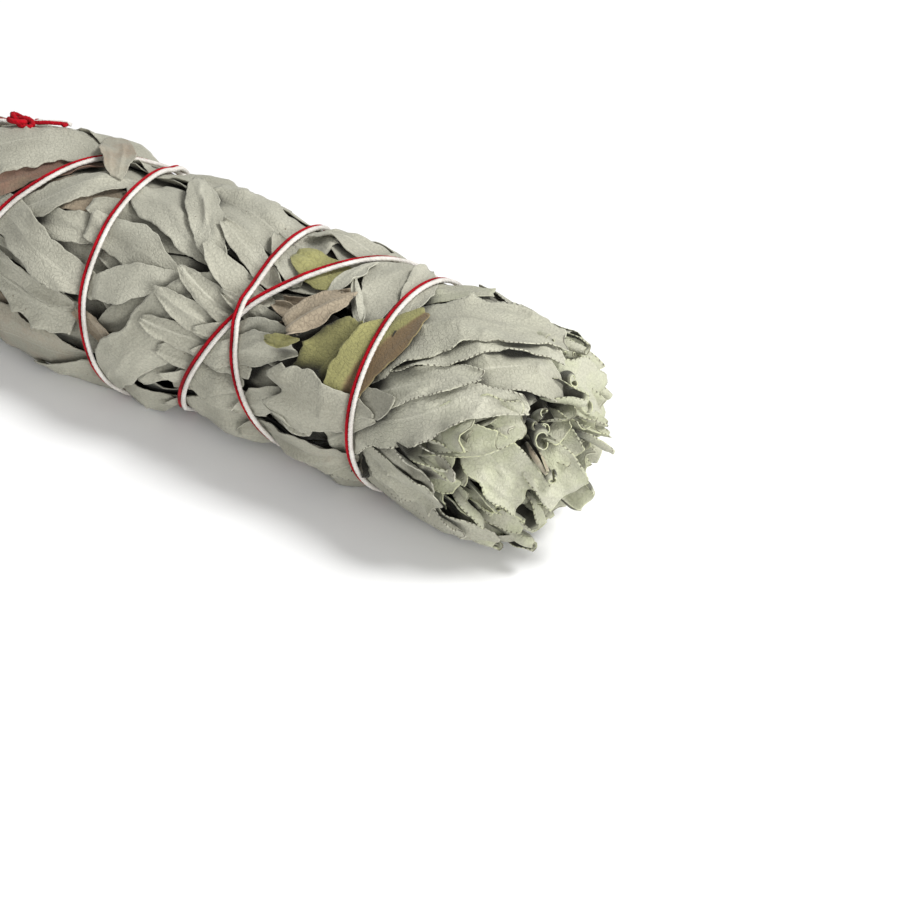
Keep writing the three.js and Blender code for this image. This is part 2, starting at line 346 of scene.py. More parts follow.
def leaf_material(name, dark, light, rim, stain, veins, speckle):
    """A dry leaf. Colours are linear; veins and speckle say how strongly those show."""
    material, n, shader = new_material(name)
    leaf_map = n.out("ShaderNodeUVMap", uv_map="leaf")
    surface = n.add("ShaderNodeGroup", {"Leaf map": leaf_map}, node_tree=felt_and_veins).outputs
    keys = ("margin", "midrib", "ribbed", "tone", "brown", "worn", "fresh", "painted_shade")
    margin, midrib, ribbed, tone, brown, worn, fresh, painted_shade = [n.attribute(key) for key in keys]
    felt, blotches = surface["Felt"], surface["Blotches"]
    shade = n.plus(tone, n.times(n.math("SUBTRACT", blotches, 0.5), 0.9), clamp=True)
    colour = n.mix(shade, (*dark, 1), (*light, 1))
    grain = n.between(felt, 0.32, 0.68, 0.84, 1.13)
    grain = n.out("ShaderNodeCombineColor", {0: grain, 1: grain, 2: grain})
    colour = n.mix(1.0, colour, grain, "MULTIPLY")
    vein_dark = tuple(c * 0.62 for c in dark)
    netted = n.times(n.plus(n.times(ribbed, 1.5), 0.5), veins)
    colour = n.mix(n.times(surface["Veins"], netted), colour, (*vein_dark, 1))
    greener = n.times(fresh, n.between(blotches, 0.35, 0.65, 0.2, 0.9))
    green = tuple(c * f for c, f in zip(light, (0.86, 0.95, 0.66)))
    colour = n.mix(greener, colour, (*green, 1))
    # The midrib is paler, and a brown stain spreads where the leaf has aged.
    rib = n.between(midrib, 0.12, 0.5, 0.55, 0.0)
    pale_rib = tuple(min(c * 1.25 + 0.03, 1) for c in light)
    colour = n.mix(n.times(rib, ribbed), colour, (*pale_rib, 1))
    patchy = n.plus(brown, n.times(n.math("SUBTRACT", blotches, 0.5), 0.8))
    colour = n.mix(n.between(patchy, 0.35, 0.7, 0.0, 0.9), colour, (*stain, 1))
    # The pale worn rim, painted shade as dark dots in the notches between the teeth, small dark specks, and
    # painted shade where a leaf lies deep under its neighbours.
    patches = n.between(n.noise(leaf_map, 30, 2), 0.38, 0.62, 0.15, 1.0)
    edge = n.times(n.between(margin, 0.2, 0.03), patches)
    dry_rim = tuple(min(c * 1.2 + 0.03, 1) for c in light)
    rim_colour = n.mix(n.times(fresh, 1.6, clamp=True), (*dry_rim, 1), (*rim, 1))
    colour = n.mix(n.times(edge, worn), colour, rim_colour)
    # Painted shade in the notches between the teeth, as a row of dark dots just inside the margin.
    along = n.out("ShaderNodeSeparateXYZ", {0: leaf_map})
    along = n.plus(along, n.times(n.noise(leaf_map, 60, 1), 0.008))
    dots = n.math("SINE", n.times(along, 2 * math.pi * 100 / DOT_SPACING))
    near = n.between(margin, 0.36, 0.16)
    chance = n.between(n.noise(leaf_map, 25, 1), 0.38, 0.52)
    dots = n.times(n.times(n.between(dots, 0.1, 0.8), near), chance)
    dots = n.times(dots, n.between(worn, 0.3, 1.0, 0.05, 0.8))
    colour = n.mix(dots, colour, (0.05, 0.04, 0.028, 1))
    specks = n.out("ShaderNodeTexVoronoi", {"Vector": leaf_map, "Scale": 38.0})
    specked = n.between(n.noise(leaf_map, 9, 1), 0.52, 0.6)
    specks = n.times(n.between(specks, 0.09, 0.03), specked)
    colour = n.mix(n.times(specks, speckle), colour, (0.09, 0.06, 0.035, 1))
    # Painted shade: near black where the leaf lies deep under its neighbours or inside a tube.
    colour = n.mix(n.between(painted_shade, 0.2, 1.8, 0.0, 0.97), colour, (0.014, 0.012, 0.008, 1))
    n.fill(shader, {
        "Base Color": colour,
        "Roughness": n.between(felt, 0.2, 0.8, 0.78, 0.95),
        "Normal": n.bump(surface["Height"], 0.6, 0.0003),
        "Specular IOR Level": 0.25,
        "Sheen Weight": 0.18,
        "Sheen Roughness": 0.6,
        "Sheen Tint": (0.95, 0.97, 0.9, 1),
    })
    return material


LEAF_SLOTS = {
    "sage_leaf": leaf_material(
        "sage leaf", dark=(0.29, 0.28, 0.22), light=(0.47, 0.46, 0.375), rim=(0.54, 0.56, 0.32),
        stain=(0.29, 0.225, 0.16), veins=0.07, speckle=0.8),
    "olive_leaf": leaf_material(
        "olive leaf", dark=(0.13, 0.122, 0.045), light=(0.33, 0.315, 0.125), rim=(0.42, 0.43, 0.20),
        stain=(0.17, 0.105, 0.055), veins=0.12, speckle=0.5),
    "brown_leaf": leaf_material(
        "brown leaf", dark=(0.19, 0.145, 0.095), light=(0.36, 0.30, 0.215), rim=(0.42, 0.36, 0.26),
        stain=(0.20, 0.105, 0.075), veins=0.15, speckle=0.6),
}


# ---------------- laying one leaf
# A leaf is a thin sheet. It drapes over the leaves below, bridges their hollows, and is
# crumpled, with lifted and curled margins. Then it becomes ground for the next one.
LEAF_THICKNESS = 0.36
LEAF_GAP = 0.12                # room left under a leaf
TOOTH_PITCH = 1.1              # from one tooth of the margin to the next
TOOTH_DEPTH = 0.22
ROLL_FROM = 0.78               # a rolled tip starts to bend this far along the leaf
# Where the mesh has its lines between the midrib and the margin.
FLAT_COLUMNS = [0.05, 0.15, 0.28, 0.42, 0.56, 0.70, 0.83, 0.93, 1]
CURLED_COLUMNS = [0.06, 0.18, 0.32, 0.45, 0.56, 0.66, 0.74, 0.82, 0.89, 0.95, 1]
ground = np.full((len(map_x), 360), 3.0)  # how far out the leaves reach so far
laid = []                      # the loose leaves, which are tied later
collection = bpy.context.collection


def wobble(rng, places, reach):
    """Smooth unevenness between -1 and 1, from waves about this far apart."""
    total = 0
    for _ in range(5):
        heading = rng.normal(size=len(places))
        heading *= rng.uniform(0.6, 1.5) / np.linalg.norm(heading) / reach
        phase = rng.uniform(0, 2 * math.pi)
        total = total + np.sin(2 * math.pi * sum(p * h for p, h in zip(places, heading)) + phase)
    return total / 3.2


def leaf_width(along, reach):
    """Half-width of a leaf as a share of its widest. A leaf broken off short has reach under 1."""
    place = np.clip(along * reach, 0, 1)
    return 0.13 + 0.87 * np.sin(math.pi * place ** 1.12) ** 0.75


def settle(under, strides):
    """Lets a stiff sheet rest on what is under it, bridging the hollows."""
    sheet = under.copy()
    for stride in strides:
        for axis in (0, 1):
            step = stride if axis == 0 else max(1, stride // 3)
            pad = [(step, step) if a == axis else (0, 0) for a in (0, 1)]
            wide = np.pad(sheet, pad, mode="edge")
            first = np.take(wide, range(0, sheet.shape[axis]), axis)
            last = np.take(wide, range(2 * step, sheet.shape[axis] + 2 * step), axis)
            sheet = np.maximum(under, (first + 2 * sheet + last) / 4)
    return sheet


def raise_ground(x, angle, radius):
    """Marks the space that a sheet has filled."""
    def finer(grid, axis, parts):
        count = grid.shape[axis]
        place = np.linspace(0, count - 1, (count - 1) * parts + 1)
        i = np.minimum(place.astype(int), count - 2)
        share = (place - i).reshape((-1, 1) if axis == 0 else (1, -1))
        return np.take(grid, i, axis) * (1 - share) + np.take(grid, i + 1, axis) * share

    fine = [finer(finer(grid, 0, 3), 1, 4) for grid in (x, angle, radius)]
    i = np.clip(np.rint((fine[0] - map_x[0]) / CELL), 0, len(map_x) - 1).astype(int)
    j = np.rint(fine[1]).astype(int) % 360
    np.maximum.at(ground, (i, j), fine[2])


def sheet_mesh(name, points, flat_map, values):
    """A closed thin sheet from a grid of points, with its rim and its look."""
    along = np.gradient(points, axis=0)
    across = np.gradient(points, axis=1)
    normal = np.cross(across, along)
    normal /= np.linalg.norm(normal, axis=-1, keepdims=True) + 1e-12
    outward = points - np.stack([points[..., 0], np.zeros(points.shape[:2]),
                                 np.full(points.shape[:2], AXIS_HEIGHT)], -1)
    inward = (normal * outward).sum() < 0
    if inward:
        normal = -normal
    rows, columns = points.shape[:2]
    count = rows * columns
    top = np.arange(count).reshape(rows, columns)
    faces = np.stack([top[:-1, :-1], top[1:, :-1], top[1:, 1:], top[:-1, 1:]], -1).reshape(-1, 4)
    border = np.concatenate([top[0, :-1], top[:-1, -1], top[-1, :0:-1], top[:0:-1, 0]])
    onward = np.roll(border, -1)
    rim = np.stack([border, onward, onward + count, border + count], -1)
    if not inward:
        faces, rim = faces[:, ::-1], rim[:, ::-1]
    quads = np.concatenate([faces, faces[:, ::-1] + count, rim])
    thick = LEAF_THICKNESS * (0.5 + 0.5 * smooth_step(values["margin"], 0, 1.5))[..., None]
    vertices = np.concatenate([points.reshape(-1, 3), (points - normal * thick).reshape(-1, 3)])
    mesh = bpy.data.meshes.new(name)
    mesh.from_pydata((vertices * MM).tolist(), [], quads.tolist())
    mesh.polygons.foreach_set("use_smooth", [True] * len(mesh.polygons))
    loops = np.empty(len(mesh.loops), int)
    mesh.loops.foreach_get("vertex_index", loops)
    leaf_uv = mesh.uv_layers.new(name="leaf")
    leaf_uv.data.foreach_set("uv", flat_map.reshape(-1, 2)[loops % count].ravel())
    for key, value in values.items():
        layer = mesh.attributes.new(key, "FLOAT", "POINT")
        layer.data.foreach_set("value", np.broadcast_to(value, (2, rows, columns)).ravel())
    return mesh


def add_piece(name, mesh, material, nodes):
    """Makes a piece of a mesh with its material, fastens it to the root body, and hides the imported parts
    that it stands for.
    """
    mesh.materials.append(material)
    piece = bpy.data.objects.new(name, mesh)
    collection.objects.link(piece)
    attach(piece, "root")
    if nodes:
        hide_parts(*nodes)


def crinkle(rng, along, flat, reach):
    """Dry crumpling between 0 and 1: soft swells, and sharp folds that run mostly lengthwise."""
    swell = 0.5 + 0.5 * wobble(rng, [along, flat], reach)
    folds = 1 - np.minimum(1, 1.7 * np.abs(wobble(rng, [along / 2.6, flat], reach * 0.8)))
    small = 1 - np.minimum(1, 1.5 * np.abs(wobble(rng, [along / 1.6, flat], reach * 0.4)))
    return 0.5 * swell + 0.38 * folds + 0.16 * small


def dry_look(rng, s, t, length, width, tone, brown, ribbed, worn, fresh, painted_shade, end_share):
    """A leaf's own flat measure, and what its surface needs to know about each place on it."""
    along, flat = s * length, t * width
    flat_map = np.stack([np.broadcast_to(along, flat.shape), flat], -1) / 100 + rng.uniform(0, 9, 2)
    return flat_map, {
        "margin": np.minimum((1 - np.abs(t)) * width, (1 - s) * length * end_share),
        "midrib": np.abs(flat) + 0.35 * s,
        "ribbed": ribbed,
        "tone": tone + 0.16 * wobble(rng, [along / 2, flat], 9),
        "brown": brown,
        "worn": worn,
        "fresh": fresh,
        "painted_shade": painted_shade,
    }


def roll(share, size, start, turn):
    """Rolls up what lies beyond a share of a size: how much further it reaches, and its rise."""
    bend = (1 - start) * size / turn
    beyond = np.maximum(share - start, 0) * size
    return bend * np.sin(beyond / bend), bend * (1 - np.cos(beyond / bend))


def lay_leaf(name, base, tip, half_width, seed, *, slot="sage_leaf", nodes=(), radius=BODY_RADIUS,
             bow=0.0, reach=0.97, skip=0.0, ragged=0.02, spacing=0.7, stiff=3, crumple=0.5,
             crumple_reach=11.0, creases=2, lift=0.7, tip_lift=0.0, tip_roll=0.0, curl=0.0,
             curl_from=0.6, fold=0.0, tone=0.5, brown=0.0, brown_side=0.0, ribbed=None, worn=0.35,
             fresh=0.0, open_end=0.0):
    """Lays a leaf from its base to its tip, both given as (distance along, degrees round).
    Reach under 1 breaks off its tip, and skip leaves out its narrow base. Lift raises the margins,
    curl rolls them over and fold bends the sides up. Tone, brown, ribbed, worn and fresh say how
    it has dried: how pale, stained, ribbed and worn at the rim it is, and how green; on some leaves
    the tone also holds painted light. Open end lightens the painted shade towards its tip."""
    rng = np.random.default_rng(seed)
    start = np.array([base[0], math.radians(base[1]) * radius])
    end = np.array([tip[0], math.radians(tip[1]) * radius])
    length = np.linalg.norm(end - start)
    heading = (end - start) / length
    aside = np.array([-heading[1], heading[0]])
    columns = np.array(CURLED_COLUMNS if curl else FLAT_COLUMNS)
    s = np.linspace(0, 1, round(length / spacing))[:, None]
    t = np.concatenate([-columns[::-1], [0], columns])[None, :]
    along = s * length
    late = np.clip((s - 0.35) / 0.65, 0, 1) ** 1.3        # grows towards the tip
    teeth = np.abs(np.mod(along / TOOTH_PITCH + 0.3 * wobble(rng, [along], 9), 1) - 0.5) * 2
    teeth = TOOTH_DEPTH * (teeth - 0.5) * (0.6 + 0.4 * wobble(rng, [along], 5))
    width = 0 * s * t
    for side in (-1, 1):
        uneven = 1 + 0.13 * wobble(rng, [along], 17) + 0.05 * wobble(rng, [along], 5)
        shape = leaf_width(skip + (1 - skip) * s, reach)
        width = np.where(t * side >= 0, half_width * shape * uneven + teeth, width)
    flat = t * width

    # The margins roll over: up on to the leaf, or down under it when the curl is negative.
    place_aside, rolled = flat, 0 * flat
    if curl:
        turn = 0 * flat
        for side in (-1, 1):
            strength = np.clip(0.6 + 0.8 * wobble(rng, [along], 16), 0.03, 1) * rng.uniform(0.35, 1)
            turn = np.where(t * side > 0, math.pi * abs(curl) * strength, turn)
        turn = np.maximum(turn * (0.25 + 0.75 * late), 0.02)
        further, rolled = roll(np.abs(t), width, curl_from, turn)
        place_aside = np.sign(t) * (np.minimum(np.abs(t), curl_from) * width + further)
        if curl < 0:
            deepest = np.where(t < 0, rolled[:, :1], rolled[:, -1:])
            rolled = deepest * smooth_step(np.abs(t), 0.1, curl_from) - rolled

    # The end bends up by the tip roll, and a broken end is uneven across the leaf.
    torn = 1 - ragged * (0.5 + 0.5 * wobble(rng, [t * half_width], 9)) * s ** 3
    place_along = along * torn
    if tip_roll:
        turn = abs(tip_roll) * (0.7 + 0.3 * wobble(rng, [t * half_width], 12))
        further, rise = roll(s, length, ROLL_FROM, turn)
        place_along = np.minimum(along, ROLL_FROM * length) * torn + further
        rolled = rolled + rise
    drift = bow * 4 * s * (1 - s) + 0.9 * wobble(rng, [along], 34)
    x = start[0] + heading[0] * place_along + aside[0] * (place_aside + drift)
    round_ = start[1] + heading[1] * place_along + aside[1] * (place_aside + drift)
    angle = np.degrees(round_ / radius)

    under = look_up(ground, x, angle) + LEAF_GAP
    sheet = settle(under, [9, 6, 4, 3, 2, 1] * stiff)
    sheet = sheet + crumple * (0.5 + 0.5 * late) * crinkle(rng, along, flat, crumple_reach)
    for _ in range(creases):
        line = rng.uniform(-0.8, 0.8) * half_width + rng.uniform(-0.12, 0.12) * along
        line = line + 0.8 * wobble(rng, [along], 22)
        ridge = np.clip(1 - np.abs(flat - line) / rng.uniform(0.7, 1.8), 0, 1)
        fades = np.clip(0.5 + 0.9 * wobble(rng, [along], 26), 0, 1)
        sheet = sheet + rng.uniform(0.25, 0.6) * (0.4 + crumple) * ridge * fades
    for side in (-1, 1):
        loose = np.clip(0.3 + 0.9 * wobble(rng, [along], 12), 0, 1.2)
        sheet = sheet + np.where(t * side > 0, lift * np.abs(t) ** 4 * loose, 0)
    sheet = sheet + fold * np.abs(t) ** 1.2 * late * (0.7 + 0.3 * wobble(rng, [along], 20))
    if ribbed is None:
        ribbed = rng.choice([0.0, 0.15, 0.3, 0.9])
    rib = (0.05 + 0.2 * ribbed) * (1.1 - s) * np.clip(1 - np.abs(t) / 0.1, 0, 1)
    sheet = sheet + tip_lift * s ** 9 + rib + rolled
    raise_ground(x, angle, sheet + LEAF_THICKNESS)

    # Share of painted shade that the leaf takes, lighter within 10 mm of its end as open end says.
    painted_shade = 1 - open_end * smooth_step((1 - s) * length, 10, 1)
    brown = brown + brown_side * t
    look = dry_look(rng, s, t, length, width, tone, brown, ribbed, worn, fresh, painted_shade, end_share=0.6)
    laid.append((name, x, angle, sheet + LEAF_THICKNESS, look, slot, nodes))


# ---------------- the woody stems
# Five thin stems run up the middle and carry the leaves. They are cut off square at the butt,
# with brown ridged bark and a paler pithy face.
STEM_RADIUS = 2.2
STEM_RING = 5.1                # four of them stand this far out round the fifth
STEM_SIDES = 28
STEM_RINGS = 70


def stem_material():
    """Ridged bark, and rings of pith where the stem is cut."""
    material, n, shader = new_material("stem")
    place = n.add("ShaderNodeTexCoord").outputs["Object"]
    stretched = n.out("ShaderNodeMapping", {"Vector": place, "Scale": (0.12, 1, 1)})
    grain = n.noise(stretched, 2600, 4, 0.6)
    ridged = n.mix(n.between(grain, 0.3, 0.7), (0.17, 0.115, 0.065, 1), (0.40, 0.33, 0.22, 1))
    ringed = n.noise(place, 3000, 3, 0.6)
    face = n.mix(n.between(ringed, 0.35, 0.65), (0.42, 0.33, 0.19, 1), (0.62, 0.55, 0.38, 1))
    n.fill(shader, {
        "Base Color": n.mix(n.attribute("pith"), ridged, face),
        "Roughness": 0.88,
        "Normal": n.bump(grain, 0.7, 0.0004),
    })
    return material


bark = stem_material()


def make_stem(name, start, end, y, z, seed):
    """A closed, slightly crooked stem, with a cut face at the butt."""
    rng = np.random.default_rng(seed)
    s = np.linspace(0, 1, STEM_RINGS)[:, None]
    turn = np.linspace(0, 2 * math.pi, STEM_SIDES, endpoint=False)[None, :]
    along = s * (end - start)
    thick = STEM_RADIUS * (1 - 0.25 * s) * (1 + 0.05 * wobble(rng, [along], 11))
    bark_lines = 0.02 * wobble(rng, [turn * STEM_RADIUS, along], 1.6)
    thick = thick * (1 + 0.05 * np.cos(4 * turn + 0.6) + bark_lines)
    centre_y = y + 0.5 * wobble(rng, [along], 45)
    centre_z = z + 0.5 * wobble(rng, [along], 45)
    points = np.stack([start + along + 0 * turn, centre_y + thick * np.sin(turn),
                       AXIS_HEIGHT + centre_z + thick * np.cos(turn)], -1)
    mid = [(start + 0.25, float(centre_y[0, 0]), AXIS_HEIGHT + float(centre_z[0, 0])),
           (end, float(centre_y[-1, 0]), AXIS_HEIGHT + float(centre_z[-1, 0]))]
    shrunk = points[0] * 0.55 + np.array(mid[0]) * 0.45
    vertices = np.concatenate([points.reshape(-1, 3), shrunk, mid])
    count = STEM_RINGS * STEM_SIDES
    faces = []
    for k in range(STEM_SIDES):
        j = (k + 1) % STEM_SIDES
        for i in range(STEM_RINGS - 1):
            row = i * STEM_SIDES
            faces.append((row + k, row + STEM_SIDES + k, row + STEM_SIDES + j, row + j))
        faces.append((k, j, count + j, count + k))
        faces.append((count + k, count + j, count + STEM_SIDES))
        last = (STEM_RINGS - 1) * STEM_SIDES
        faces.append((last + j, last + k, count + STEM_SIDES + 1))
    mesh = bpy.data.meshes.new(name)
    mesh.from_pydata((vertices * MM).tolist(), [], [face[::-1] for face in faces])
    pith = np.zeros(len(vertices))
    pith[count:count + STEM_SIDES + 1] = 1
    mesh.attributes.new("pith", "FLOAT", "POINT").data.foreach_set("value", pith)
    add_piece(name, mesh, bark, (name,))


for place in range(5):
    name = f"stem_{place + 1}"
    low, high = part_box(name)
    turn = math.radians(45 + 90 * place)
    ring = STEM_RING if place else 0
    make_stem(name, low[0] / MM, high[0] / MM, ring * math.cos(turn), ring * math.sin(turn), 40 + place)


# ---------------- leaf bases at the butt
# The leaves' stalked bases are packed round the stems and cut off with them. From outside only
# their ends show, layer on layer.
BUTT_RINGS = [8.5, 10.3, 12.0, 13.6, 15.2]
BUTT_LEAF_SPACE = 13           # mm of a ring for each leaf


def lift_ground(where, radius):
    """Raises the ground at least to a radius, along the stretch where the leaves lie on it."""
    rows = where(map_x)
    ground[rows] = np.maximum(ground[rows], radius)


lift_ground(lambda x: x < 50, 7.4)
seed = 100
for level, ring in enumerate(BUTT_RINGS):
    lift_ground(lambda x: x < 0, ring - 0.9)
    count = round(2 * math.pi * ring / BUTT_LEAF_SPACE)
    for place in range(count):
        seed += 1
        rng = np.random.default_rng(seed)
        angle = 360 * place / count + 31 * level + rng.uniform(-8, 8)
        node = (f"core_leaf_{place + 1}",) if level == 1 and place < 4 else ()
        lay_leaf(f"butt_leaf_{level + 1}_{place + 1}", (-30, angle),
                 (-87 + rng.uniform(-1.5, 3), angle + 8), rng.uniform(7.5, 9.5), seed, nodes=node,
                 radius=ring, reach=0.72, spacing=2, crumple=1.0, crumple_reach=8, lift=0.8, stiff=1,
                 tone=rng.uniform(0.1, 0.8), ragged=0.03, brown=rng.choice([0, 0, 0.3, 0.6]))


# ---------------- leaves hidden in the middle
# Four broad leaves fill the bundle between its butt and its tip. Only the shape that they give
# to the leaves over them is seen.
def axis_angle(node):
    """Where a packed leaf lies round the bundle."""
    low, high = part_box(node)
    middle = (Vector(low) + Vector(high)) / 2 / MM
    return math.degrees(math.atan2(middle.y, middle.z - AXIS_HEIGHT))


lift_ground(lambda x: x < 44, 15.2)
for place in range(4):
    lay_leaf(f"middle_filler_{place + 1}", (-34, 90 * place + 30), (42, 90 * place + 36), 13, 300 + place,
             nodes=(f"core_leaf_{place + 5}",), radius=16, spacing=2, crumple=0.8, stiff=1)


# ---------------- the nested leafy tip
# Round the heart of the tip the crumpled leaf ends stand in rings, each ring a little shorter
# than the one inside it, so that together they make a dome.
RINGS = [
    # radius, leaves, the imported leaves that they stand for
    (8.0, 4, "heart_leaf"), (9.4, 5, None), (10.8, 5, None), (12.2, 6, "inner_tip_leaf"),
    (13.6, 7, None), (15.0, 8, "tip_leaf"), (16.4, 8, None), (17.8, 9, None), (19.2, 10, None),
]
DOME_HEIGHT, DOME_RADIUS = 20, 21
FRONT_SIDE = -46               # on this side the painted shade between the ends stays darker
lift_ground(lambda x: x > 44, 6.6)
seed = 500
for level, (ring, count, packed) in enumerate(RINGS):
    lift_ground(lambda x: x > 44, ring - 1.4)
    for place in range(count):
        seed += 1
        rng = np.random.default_rng(seed)
        angle = 360 * place / count + 47 * level + rng.uniform(-9, 9)
        tip = 68 + DOME_HEIGHT * (1 - (ring / DOME_RADIUS) ** 2) ** 0.7 + rng.uniform(-3, 2.5)
        node = (f"{packed}_{place + 1}",) if packed else ()
        faces_front = math.cos(math.radians(angle - FRONT_SIDE)) > 0.4
        lay_leaf(f"tip_ring_{level + 1}_leaf_{place + 1}", (tip - rng.uniform(30, 36), angle),
                 (tip, angle + rng.uniform(-14, 14)), rng.uniform(7, 9.5), seed, nodes=node,
                 radius=ring, spacing=1.8 if level < 4 else 0.8, reach=rng.uniform(0.82, 0.98),
                 ragged=rng.uniform(0.01, 0.05), crumple=rng.uniform(0.7, 1.2),
                 crumple_reach=rng.uniform(7, 12), creases=3, lift=rng.uniform(0.2, 0.8),
                 curl=rng.choice([0, 0, -0.6, 0.5, 1.1]), curl_from=rng.uniform(0.45, 0.7),
                 tip_roll=rng.choice([0, 0, 0, 0.6]), fold=rng.choice([0, 0, 0.6, 1.2]), stiff=1,
                 tone=rng.uniform(0.35, 1), worn=0.8, fresh=rng.uniform(0.1, 0.7),
                 open_end=0.45 if faces_front else 0.85)


# ---------------- the wrapped rows of leaves
# Three rows of long leaves are wrapped on, from the butt to the tip, each row covering the
# bases of the next. These are the ones at the back and underneath, and a backing for the front.
# Each row, and those of its leaves that are only a backing, as one in front stands for them.
ROWS = [
    ("lower_leaf", {2: "a", 3: "b", 4: "c", 5: "d"}),
    ("middle_leaf", {2: "a", 3: "b", 4: "c", 5: "d", 6: "e"}),
    ("upper_leaf", {2: "a", 3: "b", 4: "c", 5: "d"}),
]
lift_ground(lambda x: x < 66, 17.4)
seed = 700
for row, in_front in ROWS:
    for place in range(1, 9):
        seed += 1
        rng = np.random.default_rng(seed)
        node = f"{row}_{place}"
        low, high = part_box(node)
        angle = axis_angle(node)
        backing = place in in_front
        slot = "brown_leaf" if node == "middle_leaf_7" else "sage_leaf"
        name = f"backing_{row}_{in_front[place]}" if backing else f"wrapped_{node}"
        lay_leaf(name, (low[0] / MM - 3, angle - 6), (high[0] / MM, angle + rng.uniform(-8, 12)),
                 rng.uniform(8.5, 10.5), seed, slot=slot, nodes=() if backing else (node,),
                 bow=rng.uniform(-2, 2), spacing=1.8 if backing else 0.9,
                 crumple=rng.uniform(0.2, 0.5), creases=3, lift=rng.uniform(0.4, 0.9),
                 tone=rng.uniform(0.3, 0.9), curl=rng.choice([0, 0, 0.6]),
                 brown=rng.choice([0, 0, 0, 0.35]))


# Smaller leaves lie over them at the back and underneath, to fill the gaps.
BACK_ROWS = [(32, 79), (8, 46), (-18, 20), (-44, -4), (-72, -30)]
for row, (start, end) in enumerate(BACK_ROWS):
    for place in range(5):
        seed += 1
        rng = np.random.default_rng(seed)
        angle = 46 + 40 * place + 20 * (row % 2) + rng.uniform(-8, 8)
        base, tip = start + rng.uniform(-4, 4), end + rng.uniform(-7, 2)
        if rng.random() < 0.5 and row:
            base, tip = tip, base
        brown = rng.choice([0, 0, 0, 0.3])
        lay_leaf(f"back_leaf_{row + 1}_{place + 1}", (base, angle), (tip, angle + rng.uniform(-26, 26)),
                 rng.uniform(4.5, 7.5), seed, bow=rng.uniform(-2, 2), spacing=0.9, brown=brown,
                 crumple=rng.uniform(0.3, 0.7), lift=rng.uniform(0.2, 0.5), tone=rng.uniform(0.3, 0.9))


# ---------------- the leaves seen from the front
# Each of these is laid one by one: where its base and its tip lie, how wide it is and how it has
# dried. Places are (distance along the bundle, degrees round it, with 0 at the top).
def front(name, base, tip, half_width, seed, node=None, *, worn=0.1, **how):
    """One leaf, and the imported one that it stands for. Its rim is hardly worn unless it says so."""
    lay_leaf(name, base, tip, half_width, seed, nodes=(node,) if node else (), worn=worn, **how)


# Past the last turn of string, the big leaves that cover the tip.
front("shoulder_under_leaf", (52, 34), (72, 36), 6, 869, skip=0.1, lift=0, tone=0.45, worn=0.9)
front("right_under_leaf", (53, 46), (73, 50), 7, 870, skip=0.1, lift=0.2, worn=0.9)
# The low tones of the next two leaves are partly painted shade, darkening the low front of the tip.
front("low_tip_leaf", (40, -138), (82, -138), 7, 871, skip=0.2, tone=0.2, worn=0.35)
front("low_outer_leaf", (42, -116), (79, -134), 8, 872, "upper_leaf_2", reach=0.9, skip=0.2, spacing=0.33,
      tone=0.35, worn=0.9, fresh=0.1)
front("fold_under_a", (48, -84), (74, -80), 3.6, 868, lift=1.2, curl=0.6, worn=0.9)
front("fold_under_b", (50, -90), (70, -90), 3, 869, lift=1.4, curl=0.8, tone=0.7, worn=0.9)
front("low_layer_leaf", (54, -104), (75, -124), 3.4, 866, ragged=0.15, lift=0.9, tone=0.4, worn=0.9)
front("pale_short_leaf", (50, -92), (71.5, -102), 4.2, 873, reach=0.75, skip=0.15, ragged=0.12,
      spacing=0.33, lift=1.0, tone=0.6, worn=0.9, fresh=0.1)
front("top_short_leaf", (43, 4), (59, 30), 3.8, 874, tip_lift=0.3, tone=0.6, worn=0.35, fresh=0.3)
# The tones of the next five leaves are partly painted light: long_lower_leaf, spotted_leaf and
# second_long_leaf are set paler and veined_leaf and top_long_leaf darker, to even out the lamps on the
# front of the tip.
front("veined_leaf", (56, -66), (81, 8), 6.2, 875, reach=0.7, skip=0.2, ragged=0.06, spacing=0.33,
      creases=1, lift=0.9, tone=0.55, ribbed=0.9, worn=0.9, fresh=0.1)
front("long_lower_leaf", (42, -98), (80.5, -28), 5, 876, "upper_leaf_3", skip=0.25, spacing=0.33, lift=1.1,
      tone=1.0, worn=1.0, fresh=0.1)
front("spotted_leaf", (44, -72), (72, -28), 3.6, 867, skip=0.15, spacing=0.33, lift=0.9, tone=0.95,
      worn=1.0, fresh=0.1)
front("second_long_leaf", (50, -48), (79, 20), 4.6, 877, spacing=0.33, creases=1, lift=0.9, tone=0.9,
      worn=1.0, fresh=0.1)
front("top_long_leaf", (43, -47), (76, 34), 8, 878, "upper_leaf_5", reach=0.93, skip=0.2, spacing=0.33,
      creases=3, lift=1.1, tone=0.7, ribbed=0.6, worn=1.0, fresh=0.1)
front("corner_leaf", (42, -78), (58, -56), 4.4, 879, reach=1.0, skip=0.45, tone=0.25, ribbed=0.1, worn=0.35)

# Towards the butt, where long smooth leaves lie nearly along the bundle.
front("under_band_leaf", (-46, -42), (-14, -14), 5, 814, slot="brown_leaf", tone=0.6)
front("dark_leaf", (-60, -98), (-25, -106), 6, 801, "lower_leaf_3", slot="brown_leaf", creases=4, lift=0.4,
      tone=0.35, brown=0.2)
front("dull_leaf", (-56, -118), (-14, -114), 7, 802, "lower_leaf_2", lift=0.4, tone=0.1, brown=0.45)
front("low_left_leaf", (-30, -132), (4, -128), 6, 812, lift=0.4)
front("round_tip_leaf", (-40, -82), (-17, -90), 4.2, 807, reach=0.8, lift=0.4, tone=0.65)
front("cracked_leaf_a", (-50, -62), (-19, -76), 2, 804, lift=0.6, tone=0.35)
front("cracked_leaf_b", (-48, -72), (-17, -82), 2, 805, lift=0.6)
front("slim_leaf", (-38, -52), (-12, -34), 3.4, 808, lift=0.3, tone=0.6)
